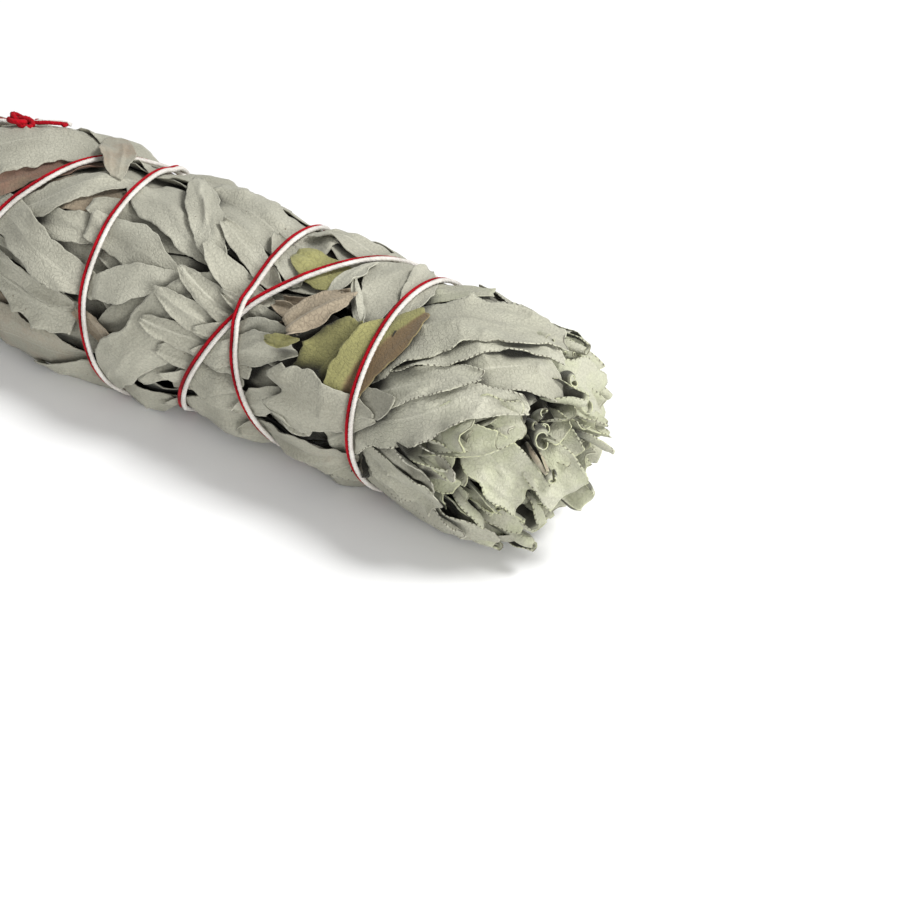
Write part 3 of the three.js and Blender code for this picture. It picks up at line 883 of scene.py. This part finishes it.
front("band_leaf", (-42, -64), (-18, 2), 3.8, 803, lift=0.3, tone=0.65)
front("long_smooth_leaf", (-68, -34), (-12, -70), 4.4, 806, "lower_leaf_4", reach=0.9, creases=1, lift=0.3,
      tone=0.75)
front("brown_strip", (-50, -60), (-27, 8), 2.4, 809, slot="brown_leaf", tone=0.2, brown=0.6)
front("butt_top_leaf", (-66, -60), (-29, 24), 9, 810, "lower_leaf_5", bow=1.6, skip=0.1, lift=0.3, tone=0.6)
front("ridge_leaf", (-36, 52), (-6, 44), 7, 813, stiff=1, lift=0.2)
front("top_edge_leaf", (-54, 38), (2, 30), 6.5, 811, "middle_leaf_6", stiff=1, lift=0.3, tone=0.6)

# Between the knot and the crossing, where leaves fan out from one point.
front("under_fan_leaf", (10, -18), (-22, -28), 5, 820, lift=0.4, tone=0.4)
front("fan_leaf_a", (6, -44), (-20, -38), 4.4, 821, reach=0.85, lift=0.4, tone=0.65)
front("fan_leaf_b", (9, -52), (-11, -88), 3.6, 822, lift=0.4, tone=0.2, brown=0.25)
front("pinkish_leaf", (7, -44), (-14, -68), 3.4, 823, reach=0.85, tone=0.9, brown=0.3, ribbed=0.1)
front("top_mid_leaf", (26, 2), (-5, 18), 6.5, 830, reach=0.9, skip=0.25, stiff=1, lift=0.4, tone=0.75)
front("broad_top_leaf", (9, -30), (-16, 4), 6.4, 824, reach=0.8, creases=3, lift=0.4, tone=0.75, ribbed=0.1)
front("upright_leaf", (13, -37), (-9, 20), 3.6, 825, crumple=0.8, creases=4, lift=0.5, tone=0.7)
front("pink_patch", (-17, -84), (-4, -104), 3.6, 829, slot="brown_leaf", tone=0.8)
front("lower_fan_leaf_a", (20, -56), (-1, -112), 4.8, 826, lift=0.4)
front("lower_fan_leaf_b", (24, -66), (6, -114), 4.4, 827, lift=0.4, tone=0.6)
front("long_fan_leaf", (14, -29), (-12, -130), 5.4, 828, "middle_leaf_4", lift=0.5, tone=0.65, ribbed=0.15)

# Between the crossing and the last turn of string, small leaves and the olive one.
front("belly_leaf_c", (2, -128), (31, -124), 5, 843, tone=0.6)
front("belly_leaf_a", (4, -100), (28, -102), 4, 841, "middle_leaf_3", tone=0.6)
front("belly_leaf_b", (4, -84), (23, -88), 4.2, 842, "middle_leaf_2", tone=0.45)
front("shingle_a", (0, -70), (25, -78), 3.6, 840, lift=0.6, tone=0.55)
front("shingle_b", (1, -55), (24, -64), 3.2, 844, lift=0.6, tone=0.65)
front("shingle_c", (4, -41), (23, -52), 3, 845, lift=0.6)
front("shingle_d", (6, -26), (24, -39), 2.9, 846, lift=0.8, tone=0.7)
front("shingle_e", (6, -11), (24, -26), 2.9, 847, lift=0.8, tone=0.6)
front("shingle_f", (15, 4), (27, -22), 2.8, 839, lift=0.6, tone=0.7)
front("top_end_leaf", (20, 14), (42, 32), 4, 838, lift=0.9, tone=0.6)
front("small_leaf", (14, -44), (31, -46), 2.4, 837, tone=0.6)
front("brown_sliver", (20, -55), (34, -43), 1.4, 836, slot="brown_leaf", tone=0.1, brown=0.4)
front("grey_scrap", (29, -60), (39, -38), 2.3, 857, tone=0.3, worn=0.2)
front("pointed_leaf_a", (11, -67), (33, -48), 2.9, 848, creases=3, lift=0.9, tone=0.8)
front("pointed_leaf_b", (11, -80), (34, -55), 3.4, 849, creases=3, lift=1.0, tone=0.75)
front("small_olive_leaf", (41, -9), (22, -4), 4.6, 855, "middle_leaf_5", slot="olive_leaf", tone=0.85,
      brown=0.1, ribbed=0.5, worn=0.2)
front("smooth_grey_leaf", (46, -34), (36, 40), 4.4, 853, creases=1, tone=0.6)
front("next_grey_leaf", (50, -20), (44, 32), 3, 835, creases=1, tone=0.7)
front("thin_strip", (37, -8), (44, -30), 1.3, 834, tone=0.9)
front("pale_scrap", (33, -24), (38, 11), 2.2, 854, ragged=0.2, tone=1.0, worn=0.2)
front("olive_scrap", (35, -49), (28, -55), 1.1, 860, slot="olive_leaf", bow=0.6, lift=0.8, tone=0.4,
      worn=0.35)
front("olive_leaf", (38, -92), (41.5, -27), 5.8, 858, "upper_leaf_4", slot="olive_leaf", tone=0.4,
      brown=0.12, ribbed=0.3, worn=0.3)
front("olive_leaf_base", (43, -82), (53, -7), 4.9, 831, slot="olive_leaf", creases=1, tone=0.7, brown=0.6,
      brown_side=-1.3, ribbed=0.1, worn=0.3)
front("brown_curl_edge", (38.5, -17), (25.5, -32), 1.7, 833, slot="brown_leaf", bow=1.2, lift=1.0, curl=1.0,
      tone=0.3, brown=0.3, worn=0.35)
front("brown_curl_end", (34, -46), (25, -37), 1.6, 832, slot="brown_leaf", bow=-1.2, lift=1.0, curl=1.0,
      tone=0.6, worn=0.35)
front("curled_brown_leaf", (32, -47), (39.5, -15), 3.3, 856, slot="brown_leaf", skip=0.15, ragged=0.2,
      crumple=1.0, creases=4, lift=0.9, tone=0.9, ribbed=0.7, worn=0.35)
front("upright_scrap", (20, -108), (34, -78), 2.9, 852, ragged=0.2, lift=1.0, tone=0.95, worn=0.3)
front("wrinkled_leaf", (20, -124), (49, -104), 4.2, 851, crumple=1.0, creases=6, lift=1.0, curl=0.5,
      tone=0.3, brown=0.35, worn=0.35)
front("narrow_roll", (30, -87), (39, -101), 1.2, 850, lift=1.0, curl=1.4, tone=0.9, worn=0.35)
front("ragged_grey_leaf", (54, -71), (29.5, -82), 6.4, 859, reach=0.75, ragged=0.2, creases=3, lift=0.9,
      tone=0.4, ribbed=0.2, worn=0.4)


# ---------------- drawing the leaves tight
# The strings draw the loose leaves together until the bundle has its tied shape. Only the
# small unevenness stays, and painted shade darkens each leaf where it dips under its neighbour.
def spread(field, reach_along, reach_round):
    """Averages an unrolled map over the cells about each cell."""
    for axis, reach in ((0, reach_along), (1, reach_round)):
        step = 1
        while step <= reach:
            field = (np.roll(field, step, axis) + field + np.roll(field, -step, axis)) / 3
            step *= 2
    return field


BUTT_OPENING = (-88, -74)      # light gets in between the cut ends this far
tightness = np.clip(pressed_outside / spread(ground, 8, 16), 0.4, 1.2)
near_ground = spread(ground, 2, 4)


def press(x, angle, radius):
    """Moves a place on the loose leaves to where it lies once the bundle is tied."""
    tied = radius * look_up(tightness, x, angle)
    for limit in (look_up(string_groove, x, angle), to_table(angle) - 0.03):
        tied = np.where(tied > limit, limit + GROOVE_GIVE * (tied - limit), tied)
    return np.clip(tied, 1.0, to_table(angle) - 0.01)


def top_leaf(x, angle):
    """How far out the top leaf stands once the bundle is tied."""
    return press(x, angle, look_up(ground, x, angle))


for name, x, angle, radius, (flat_map, values), slot, nodes in laid:
    # Painted shade: deeper under the leaves round it, and weaker where light gets in at the cut butt.
    cut_end = smooth_step(x, *BUTT_OPENING)
    below = np.clip(look_up(near_ground, x, angle) - radius, 0, 4)
    values["painted_shade"] = values["painted_shade"] * below * (0.15 + 0.85 * cut_end)
    points = on_bundle(x, angle, press(x, angle, radius))
    add_piece(name, sheet_mesh(name, points, flat_map, values), LEAF_SLOTS[slot], nodes)


# ---------------- curled leaf ends on the tip
# Over the rings stand the leaf ends that dried freely: rolled into tubes, turned in at both
# margins, cupped, or lying open with one face to the front.
HALF_COLUMNS = 12              # lines of the mesh between the midrib and each margin
HEART_TOP = 88
GOLDEN_TURN = 137.5            # degrees from one end in the heart to the next
END_DOME_RADIUS, END_DOME_LENGTH = 21.4, 22


# The high default tone is partly painted light: the leaf ends of the tip are set paler where the front
# light falls on them.
def stand(name, base, tip, facing, half_width, seed, *, rolled=(0.05, 0.05), nodes=(), bow=0.0,
          flare=0.0, reach=0.85, skip=0.2, ragged=0.08, rows=32, crumple=0.6, tone=0.9, brown=0.0,
          ribbed=0.2, worn=0.9, fresh=0.5, deep=0.7):
    """A leaf end on its own. Base and tip are (along, degrees round, distance from the axis).
    Facing is where its upper side looks: (degrees round, degrees of tilt towards the tip).
    Rolled says how many turns its two margins make, and deep how far up from its base painted shade darkens
    it."""
    rng = np.random.default_rng(seed)
    start = on_bundle(*[np.float64(v) for v in base])
    end = on_bundle(*[np.float64(v) for v in tip])
    heading = end - start
    length = np.linalg.norm(heading)
    heading /= length
    round_, tilt = np.radians(facing)
    up = np.array([math.sin(tilt), math.cos(tilt) * math.sin(round_), math.cos(tilt) * math.cos(round_)])
    up -= heading * (up @ heading)
    up /= np.linalg.norm(up)
    aside = np.cross(up, heading)

    s = np.linspace(0, 1, rows)[:, None]
    along = s * length
    edge = (np.arange(HALF_COLUMNS) + 1) / HALF_COLUMNS
    step = 1 / HALF_COLUMNS
    sides = []
    for side, turns in zip((-1, 1), rolled):
        width = half_width * leaf_width(skip + (1 - skip) * s, reach)
        width = width * (1 + 0.1 * wobble(rng, [along], 9)) * (1 + flare * s ** 3)
        turned = 2 * math.pi * turns * (0.55 + 0.45 * s) * (1 + 0.12 * wobble(rng, [along], 12))
        bend = turned * (edge[None, :] - step / 2) ** 1.35
        out = np.cumsum(np.cos(bend), 1) * step * width
        rise = np.cumsum(np.sin(bend), 1) * step * width
        sides.append((side * out, rise, np.broadcast_to(side * edge, out.shape), width))
    (*left, left_width), (*right, right_width) = sides
    zero = np.zeros((rows, 1))
    out, rise, t = [np.concatenate([a[:, ::-1], zero, b], 1) for a, b in zip(left, right)]
    width = np.where(t < 0, left_width, right_width)
    flat = t * width
    teeth = np.abs(np.mod(along / TOOTH_PITCH + 0.4 * wobble(rng, [along], 9), 1) - 0.5) * 2 - 0.5
    out = out + np.sign(t) * np.abs(t) ** 8 * TOOTH_DEPTH * teeth * (np.abs(bend[:, -1:]) < 1.6)
    torn = 1 - ragged * (0.5 + 0.5 * wobble(rng, [flat], 6)) * s ** 2
    rise = rise + crumple * (crinkle(rng, along, flat, 7) - 0.5) * (0.4 + 0.6 * s)
    rise = rise + bow * 4 * s * (1 - s) + 0.4 * wobble(rng, [along], 20)
    centre = start + heading * (along * torn)[..., None]
    points = centre + aside * out[..., None] + up * rise[..., None]
    points[..., 2] = np.maximum(points[..., 2], LEAF_THICKNESS + 0.05)
    # Painted shade darkens it down between its neighbours, and more still inside a tube.
    depth = np.clip(deep - s, 0, 1) * length * 0.3 + 0 * t
    inside = 1.5 * smooth_step((1 - s) * length, 0, 1.6) * smooth_step(min(rolled), 0.2, 0.45)
    painted_shade = np.clip(np.stack([depth + inside, depth]), 0, 3)
    look = dry_look(rng, s, t, length, width, tone, brown, ribbed, worn, fresh, painted_shade, end_share=0.8)
    add_piece(name, sheet_mesh(name, points, *look), LEAF_SLOTS["sage_leaf"], nodes)


# Two tubes lie deep in the heart.
for place, turned in enumerate((-40, 150)):
    stand(f"rolled_leaf_piece_{place + 1}", (58, turned, 3), (86, turned, 4), (turned, 0), 8,
          900 + place, rolled=(1.1, 1.3), nodes=(f"rolled_leaf_{place + 1}",), crumple=0.2)

# Two broad leaves are folded across the hollow between the stems and the heart. Their low tone and painted
# shade over their whole length make them nearly black, as the shade deep inside.
for place, turned in enumerate((20, 110)):
    along = 44 + 3 * place
    stand(f"leaf_across_{place + 1}", (along, turned, 15), (along + 2, turned + 180, 15), (0, 90), 15,
          950 + place, deep=3, rows=16, ragged=0, crumple=1.5, tone=0.1, reach=0.5, fresh=0)

# Seen from the front right, from the top of the tip down to the table.
stand("end_tube_top", (66, 46, 18.4), (76.6, 57, 19), (20, 10), 4, 911, rolled=(0.5, 0.5), deep=0.1)
stand("end_tube_top_low", (67, 42, 17.6), (78.4, 51, 18.2), (10, 20), 4, 912, rolled=(0.6, 0.5), deep=0.1)
stand("right_back_leaf", (66, 56, 19.4), (80, 80, 17.2), (40, 40), 4.6, 909, rolled=(0.08, 0.1))
stand("right_upper_face", (71, 34, 18), (79.4, 74, 18.4), (30, 35), 4, 908, rolled=(0.05, 0.15),
      crumple=1.0, deep=0.4)
stand("right_tube_a", (74, 60, 14), (82, 84, 15.2), (60, 40), 3.2, 914, rolled=(0.5, 0.5))
stand("right_tube_b", (72, 66, 16), (80, 81, 17), (60, 40), 3.2, 915, rolled=(0.5, 0.6))
stand("right_broad_leaf", (78, 4, 14.8), (83.8, 77, 13.4), (24, 54), 6.2, 913, rolled=(0.03, 0.08), bow=0.6,
      reach=0.7, ragged=0.15, crumple=0.8, deep=0)
stand("facing_tube", (77, 14, 11), (83.4, 6, 15.6), (20, 60), 4.2, 916, rolled=(0.52, 0.62), flare=0.15,
      deep=0.4)
stand("lying_tube", (78.5, -8, 13), (86.2, 16, 11.6), (-20, 30), 3.8, 917, rolled=(0.55, 0.5), deep=0.2)
stand("pointed_end_a", (79, 12, 8), (88, 62, 8.4), (10, 0), 3.2, 918, rolled=(0.22, 0.1), reach=0.97)
stand("pointed_end_b", (81, 0, 8), (89.6, 66, 6.2), (20, -8), 3.4, 919, rolled=(0.1, 0.2), reach=0.97)
stand("pointed_end_c", (82, -15, 7), (91.6, 72, 3.8), (26, -14), 3.6, 920, rolled=(0.2, 0.1), reach=0.97)
stand("small_scroll_a", (76, -20, 7.5), (82, -22, 14.2), (-30, 50), 3.4, 921, rolled=(1.2, 0.3))
stand("small_scroll_b", (76, -36, 9), (82.8, -38, 15.8), (-40, 50), 3.4, 922, rolled=(1.1, 0.4))
stand("small_scroll_c", (77, -32, 7.5), (83.8, -33, 13.6), (-40, 50), 3.4, 923, rolled=(0.4, 1.2))
stand("small_lobe_a", (78, -22, 9), (87, -34, 9.6), (-38, 46), 3.6, 924, rolled=(0.12, 0.2))
stand("small_lobe_b", (80, -32, 8), (89.4, -52, 7), (-44, 50), 3.8, 925, rolled=(0.16, 0.12))
stand("small_lobe_c", (78, -8, 8), (86.4, -14, 11), (-20, 40), 3.2, 941, rolled=(0.2, 0.12))
stand("folded_leaf", (65, -66, 21), (81.2, -37, 15.8), (-44, 30), 5.4, 926, rolled=(0.1, 0.16), bow=1.6,
      rows=46, crumple=1.4, tone=1.0, deep=0.3)
stand("folded_leaf_rim", (65, -72, 21), (79.5, -56, 18.4), (-60, 20), 3.6, 927, rolled=(0.34, 0.12),
      bow=1.0, deep=0.3)
stand("hollow_tube", (78, -48, 9), (84.8, -50, 15.2), (-50, 50), 4.8, 928, rolled=(0.5, 0.5), flare=0.25)
stand("thin_stick", (82, -52, 13.5), (88, -70, 13.4), (-50, 40), 1.6, 929, rolled=(0.9, 0.6), brown=0.6)
stand("side_face", (81.5, -50, 12), (89.6, -110, 8.4), (-62, 50), 5.2, 931, rolled=(0.06, 0.1), bow=1.4,
      reach=0.75, rows=40, crumple=1.2, ribbed=0.1, deep=0.4)
stand("tube_on_face", (84, -80, 8.5), (88.4, -80, 12.4), (-70, 50), 2.8, 942, rolled=(0.55, 0.6))
stand("central_face", (72, -56, 19.6), (85.4, -107, 13), (-70, 38), 5.6, 930, rolled=(0.12, 0.08), bow=1.5,
      reach=0.8, ragged=0.2, rows=46, crumple=1.3, tone=0.95, ribbed=0.5, deep=0.34)
stand("curled_cup", (81, -120, 4), (90.4, -166, 7.6), (-60, 40), 5.6, 932, rolled=(0.4, 0.42), flare=0.2,
      rows=40)
stand("low_tube", (76, -118, 10), (85, -140, 14.6), (-90, 40), 4.8, 933, rolled=(0.5, 0.52), flare=0.2)
stand("ribbon_a", (66, -82, 19), (77, -122, 19), (-150, 10), 3, 943, rolled=(0.15, 0.3), rows=40)
stand("ribbon_b", (71, -88, 17.5), (80, -108, 17.4), (-140, 20), 2.8, 944, rolled=(0.3, 0.12))
stand("under_face", (68, -112, 17.5), (80, -136, 16.6), (-96, 24), 4, 934, rolled=(0.3, 0.2), ragged=0.15)
stand("under_face_b", (70, -104, 17), (83.5, -126, 15.4), (-100, 36), 3.6, 940, rolled=(0.15, 0.3))
stand("left_fold_a", (60, -74, 20.6), (72.6, -78, 21), (-70, 10), 3.4, 935, rolled=(0.45, 0.12))
stand("left_fold_b", (61, -84, 20.4), (74, -88, 20.2), (-84, 10), 3.4, 936, rolled=(0.2, 0.4))
stand("low_roll_a", (62, -130, 19), (79.4, -136, 20.6), (-120, 10), 3.4, 937, rolled=(0.7, 0.6))
stand("low_roll_b", (68, -134, 15), (86, -138, 18.2), (-120, 20), 4, 938, rolled=(0.55, 0.7))
stand("low_flap", (68, -138, 17.4), (79, -146, 17.8), (-110, 20), 3.6, 939, rolled=(0.1, 0.15))

# This one has sprung up over the string behind the knot.
stand("leaf_over_string", (-33, 36, 20.6), (-20.5, -9, 20.9), (14, 0), 3.5, 946, rolled=(0.05, 0.03),
      bow=2.3, reach=0.97, skip=0.1, crumple=1.1, tone=0.4, brown=0.52, worn=0.2, fresh=0, deep=0)

# Others stand close together in the heart.
for place in range(12):
    rng = np.random.default_rng(980 + place)
    angle = GOLDEN_TURN * place
    out = 2.5 + 0.72 * place
    along = HEART_TOP - 0.03 * out ** 2 + rng.uniform(-1.5, 0.5)
    rolled = [(0.5, 0.45), (0.15, 0.25), (1.0, 0.3), (0.2, 0.1)][place % 4]
    stand(f"heart_end_{place + 1}", (along - 13, angle, 0.8 * out),
          (along, angle + rng.uniform(-15, 15), out),
          (angle + rng.uniform(-50, 50), rng.uniform(0, 30)), rng.uniform(4, 5.5), 980 + place,
          rolled=rolled, flare=rng.uniform(0, 0.2), rows=22, tone=rng.uniform(0.5, 1))

# Small ends stand between the big ones on the far side.
for place in range(18):
    rng = np.random.default_rng(960 + place)
    angle = 20 + 222 * place % 210 + rng.uniform(-8, 8)
    along = rng.uniform(74, 87)
    dome = END_DOME_RADIUS * math.sqrt(1 - ((along - DOME_FROM) / END_DOME_LENGTH) ** 2)
    rolled = [(0.1, 0.2), (0.5, 0.45), (0.9, 0.3), (0.3, 0.1), (0.6, 0.5)][place % 5]
    stand(f"small_end_{place + 1}", (along - 8, angle, dome - 4.5),
          (along + rng.uniform(0, 1), angle + rng.uniform(-16, 16), dome - rng.uniform(0, 1)),
          (angle + rng.uniform(-20, 20), rng.uniform(20, 60)), rng.uniform(2.4, 4), 960 + place,
          rolled=rolled, flare=rng.uniform(0, 0.2), rows=22, tone=rng.uniform(0.6, 1))


# ---------------- the binding strings and knot
# A white and a red cotton string are wound side by side as one. Each is three strands twisted
# together. Both start and end at a knot on top, and their cut ends lie beside it.
WHITE_RADIUS, WHITE_TWIST = 0.48, 3.4
RED_RADIUS, RED_TWIST = 0.4, 2.4
STRING_STEP = 0.45             # mm between the rings of the mesh
STRING_APART = 0.46            # from the middle of the pair to the middle of each string
CROSSING_LIFT = 0.88           # one turn rises this much to pass over another,
CROSSING_REACH = 4.2           # starting this far from it
KNOT = (-49.8, 8.5)            # distance along, and degrees round
TAIL_RADIUS = 0.42
KNOT_STRING_RADIUS = 0.56


def twisted_string_tree():
    """Sweeps three lobes along a curve, turning them as they go."""
    tree = bpy.data.node_groups.new("twisted string", "GeometryNodeTree")
    tree.interface.new_socket("Geometry", in_out="INPUT", socket_type="NodeSocketGeometry")
    for measure in ("Radius", "Twist length", "Step"):
        tree.interface.new_socket(measure, in_out="INPUT", socket_type="NodeSocketFloat")
    tree.interface.new_socket("Material", in_out="INPUT", socket_type="NodeSocketMaterial")
    tree.interface.new_socket("Geometry", in_out="OUTPUT", socket_type="NodeSocketGeometry")
    n = Nodes(tree)
    ends = n.add("NodeGroupInput").outputs
    inputs = {"Curve": ends["Geometry"], "Length": ends["Step"]}
    fine = n.out("GeometryNodeResampleCurve", inputs, mode="LENGTH")
    along = n.add("GeometryNodeSplineParameter").outputs["Length"]
    turn = n.times(n.math("DIVIDE", along, ends["Twist length"]), 2 * math.pi)
    turned = n.out("GeometryNodeSetCurveTilt", {"Curve": fine, "Tilt": turn})
    ring = n.out("GeometryNodeCurvePrimitiveCircle", {"Resolution": 12, "Radius": 1.0})
    place = n.out("GeometryNodeInputPosition")
    split = n.add("ShaderNodeSeparateXYZ", {0: place}).outputs
    angle = n.math("ARCTAN2", split[1], split[0])
    lobes = n.math("ABSOLUTE", n.math("COSINE", n.times(angle, 1.5)))
    size = n.times(ends["Radius"], n.plus(0.9, n.times(lobes, 0.12)))
    shape = n.out("ShaderNodeVectorMath", {0: place, "Scale": size}, operation="SCALE")
    section = n.out("GeometryNodeSetPosition", {"Geometry": ring, "Position": shape})
    inputs = {"Curve": turned, "Profile Curve": section, "Fill Caps": True}
    swept = n.out("GeometryNodeCurveToMesh", inputs)
    smooth = n.out("GeometryNodeSetShadeSmooth", {"Geometry": swept})
    real = n.out("GeometryNodeRealizeInstances", {"Geometry": smooth})
    coloured = n.out("GeometryNodeSetMaterial", {"Geometry": real, "Material": ends["Material"]})
    n.add("NodeGroupOutput", {"Geometry": coloured})
    return tree


def cotton(name, dark, light, sheen):
    """Cotton string, darker between its fibres."""
    material, n, shader = new_material(name)
    place = n.add("ShaderNodeTexCoord").outputs["Object"]
    fibres = n.noise(place, 5200, 3, 0.7)
    patches = n.noise(place, 260, 2)
    share = n.plus(n.times(fibres, 0.6), n.times(patches, 0.4))
    n.fill(shader, {
        "Base Color": n.mix(n.between(share, 0.38, 0.62), (*dark, 1), (*light, 1)),
        "Roughness": 0.85,
        "Normal": n.bump(fibres, 0.6, 0.00012),
        "Specular IOR Level": sheen,
        "Sheen Weight": sheen,
        "Sheen Roughness": 0.5,
    })
    return material


WHITE_COTTON = cotton("white cotton", (0.60, 0.56, 0.51), (0.80, 0.77, 0.72), 0.25)
RED_COTTON = cotton("red cotton", (0.20, 0.002, 0.006), (0.50, 0.004, 0.014), 0.08)
string_tree = twisted_string_tree()


def make_strings(name, lines, material, nodes, twist_length):
    """Twisted strings along lines of points in mm, each line with its own radius."""
    parts = []
    for points, radius in lines:
        curve = bpy.data.curves.new(name, "CURVE")
        curve.dimensions = "3D"
        curve.twist_mode = "MINIMUM"
        spline = curve.splines.new("POLY")
        spline.points.add(len(points) - 1)
        spline.points.foreach_set("co", np.c_[points * MM, np.ones(len(points))].ravel())
        rope = bpy.data.objects.new(name, curve)
        collection.objects.link(rope)
        modifier = rope.modifiers.new("twisted string", "NODES")
        modifier.node_group = string_tree
        settings = {"Radius": radius * MM, "Twist length": twist_length * MM,
                    "Step": STRING_STEP * MM, "Material": material}
        for socket in string_tree.interface.items_tree:
            if socket.name in settings:
                modifier[socket.identifier] = settings[socket.name]
        graph = bpy.context.evaluated_depsgraph_get()
        parts.append(bpy.data.meshes.new_from_object(rope.evaluated_get(graph)))
        bpy.data.objects.remove(rope)
    whole = bpy.data.meshes.new(name)
    vertices, faces = [], []
    for part in parts:
        shift = len(vertices)
        vertices += [v.co[:] for v in part.vertices]
        faces += [[k + shift for k in p.vertices] for p in part.polygons]
    whole.from_pydata(vertices, [], faces)
    whole.polygons.foreach_set("use_smooth", [True] * len(whole.polygons))
    whole.materials.append(material)
    piece = bpy.data.objects.new(name, whole)
    collection.objects.link(piece)
    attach(piece, "root")
    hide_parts(*nodes)


def crossing_lift(wound):
    """How much the strings rise where they cross an earlier turn."""
    lift = np.zeros_like(wound)
    for turn in range(1, 6):
        under = wound - 360 * turn
        near = bump(route_x(wound) - route_x(under), CROSSING_REACH)
        lift = np.maximum(lift, np.where(under >= route_wound[0], near, 0))
    return CROSSING_LIFT * np.minimum(1.25 * lift, 1)


def string_rest(wound):
    """How far out the leaves hold the strings: up on the high places, and across the hollows."""
    along = route_x(wound)
    high = np.max([top_leaf(along + aside, wound) for aside in (-0.8, -0.3, 0.3, 0.8)], axis=0)
    taut = high.copy()
    for stride in (12, 8, 6, 4, 3, 2, 1) * 3:
        before = np.concatenate([taut[:1].repeat(stride), taut[:-stride]])
        after = np.concatenate([taut[stride:], taut[-1:].repeat(stride)])
        taut = np.maximum(high, (before + 2 * taut + after) / 4)
    return taut


def string_line(radius, side):
    """Points along the middle of one string of the pair. Side 1 is towards the tip."""
    wound = np.arange(route_wound[0], route_wound[-1] + 0.1, 1.5)
    slope = np.gradient(route_x(wound), wound) / (math.radians(1) * BODY_RADIUS)
    tilt = np.arctan(slope)
    x = route_x(wound) + side * STRING_APART * np.cos(tilt)
    angle = wound - side * np.degrees(STRING_APART * np.sin(tilt) / BODY_RADIUS)
    height = string_rest(wound) + radius + crossing_lift(wound)
    return on_bundle(x, angle, np.minimum(height, to_table(angle) - radius - 0.1))


white_wound = string_line(WHITE_RADIUS, 1)
red_wound = string_line(RED_RADIUS, -1)
make_strings("white_string_wound", [(white_wound, WHITE_RADIUS)], WHITE_COTTON,
             ("white_string",), WHITE_TWIST)
make_strings("red_string_wound", [(red_wound, RED_RADIUS)], RED_COTTON,
             ("red_string",), RED_TWIST)


def highest_near(x, angle, reach):
    """How far out the highest leaf stands near a place."""
    across, around = np.linspace(-reach, reach, 5), np.linspace(-4 * reach, 2 * reach, 7)
    return np.max([top_leaf(x + i, angle + j) for i in across for j in around], axis=0)


def over_leaves(start, end, radius):
    """A length of string that lies over the leaves between two places."""
    s = np.linspace(0, 1, 60)
    x = start[0] + (end[0] - start[0]) * s
    angle = start[1] + (end[1] - start[1]) * s + 1.2 * np.sin(7 * s) * (1 - s)
    resting = highest_near(x, angle, 0.8)
    for _ in range(30):
        resting[1:-1] = np.maximum(resting[1:-1], (resting[:-2] + resting[2:]) / 2)
    return on_bundle(x, angle, resting + radius)


def from_wound_ends(wound_line, side, radius):
    """The lengths of string between the knot and the two ends of one wound string."""
    lengths = []
    for i in (0, -1):
        end = (route_along[i] + side * STRING_APART, (route_wound[i] + 180) % 360 - 180)
        line = over_leaves(KNOT, end, radius)
        join = smooth_step(np.linspace(0, 1, len(line)), 0.4, 1)
        lengths.append((line + join[:, None] * (wound_line[i] - line[-1]), radius))
    return lengths


red_tail = over_leaves(KNOT, (-40.9, 16), TAIL_RADIUS)
white_tail = over_leaves((KNOT[0], KNOT[1] + 2.5), (-40.4, 20), TAIL_RADIUS)
# The knot is a plain overhand one, seen as three loops, and a tight ball ends the red tail.
turn = np.linspace(0, 2 * math.pi, 110)
loop = 1.6 + 0.75 * np.cos(3 * turn)
height = float(highest_near(np.array(KNOT[0]), np.array(KNOT[1]), 1.8)) + 0.35
loop_x = KNOT[0] + 1.3 * loop * np.cos(2 * turn)
loop_angle = KNOT[1] + np.degrees(0.65 * loop * np.sin(2 * turn) / height)
red_loops = on_bundle(loop_x, loop_angle, height + 0.45 * np.sin(3 * turn))
ball_turn = np.linspace(0, 4 * math.pi, 50)
tail_ball = red_tail[-1] + 0.35 * np.stack([np.cos(ball_turn), np.sin(ball_turn), 0 * ball_turn], -1)
red_lines = [(red_loops, KNOT_STRING_RADIUS), (red_tail, TAIL_RADIUS), (tail_ball, TAIL_RADIUS)]
red_lines += from_wound_ends(red_wound, -1, RED_RADIUS)
white_lines = [(white_tail, TAIL_RADIUS)] + from_wound_ends(white_wound, 1, WHITE_RADIUS)
make_strings("red_knot", red_lines, RED_COTTON, ("knot",), RED_TWIST)
make_strings("white_tail", white_lines, WHITE_COTTON, (), WHITE_TWIST)
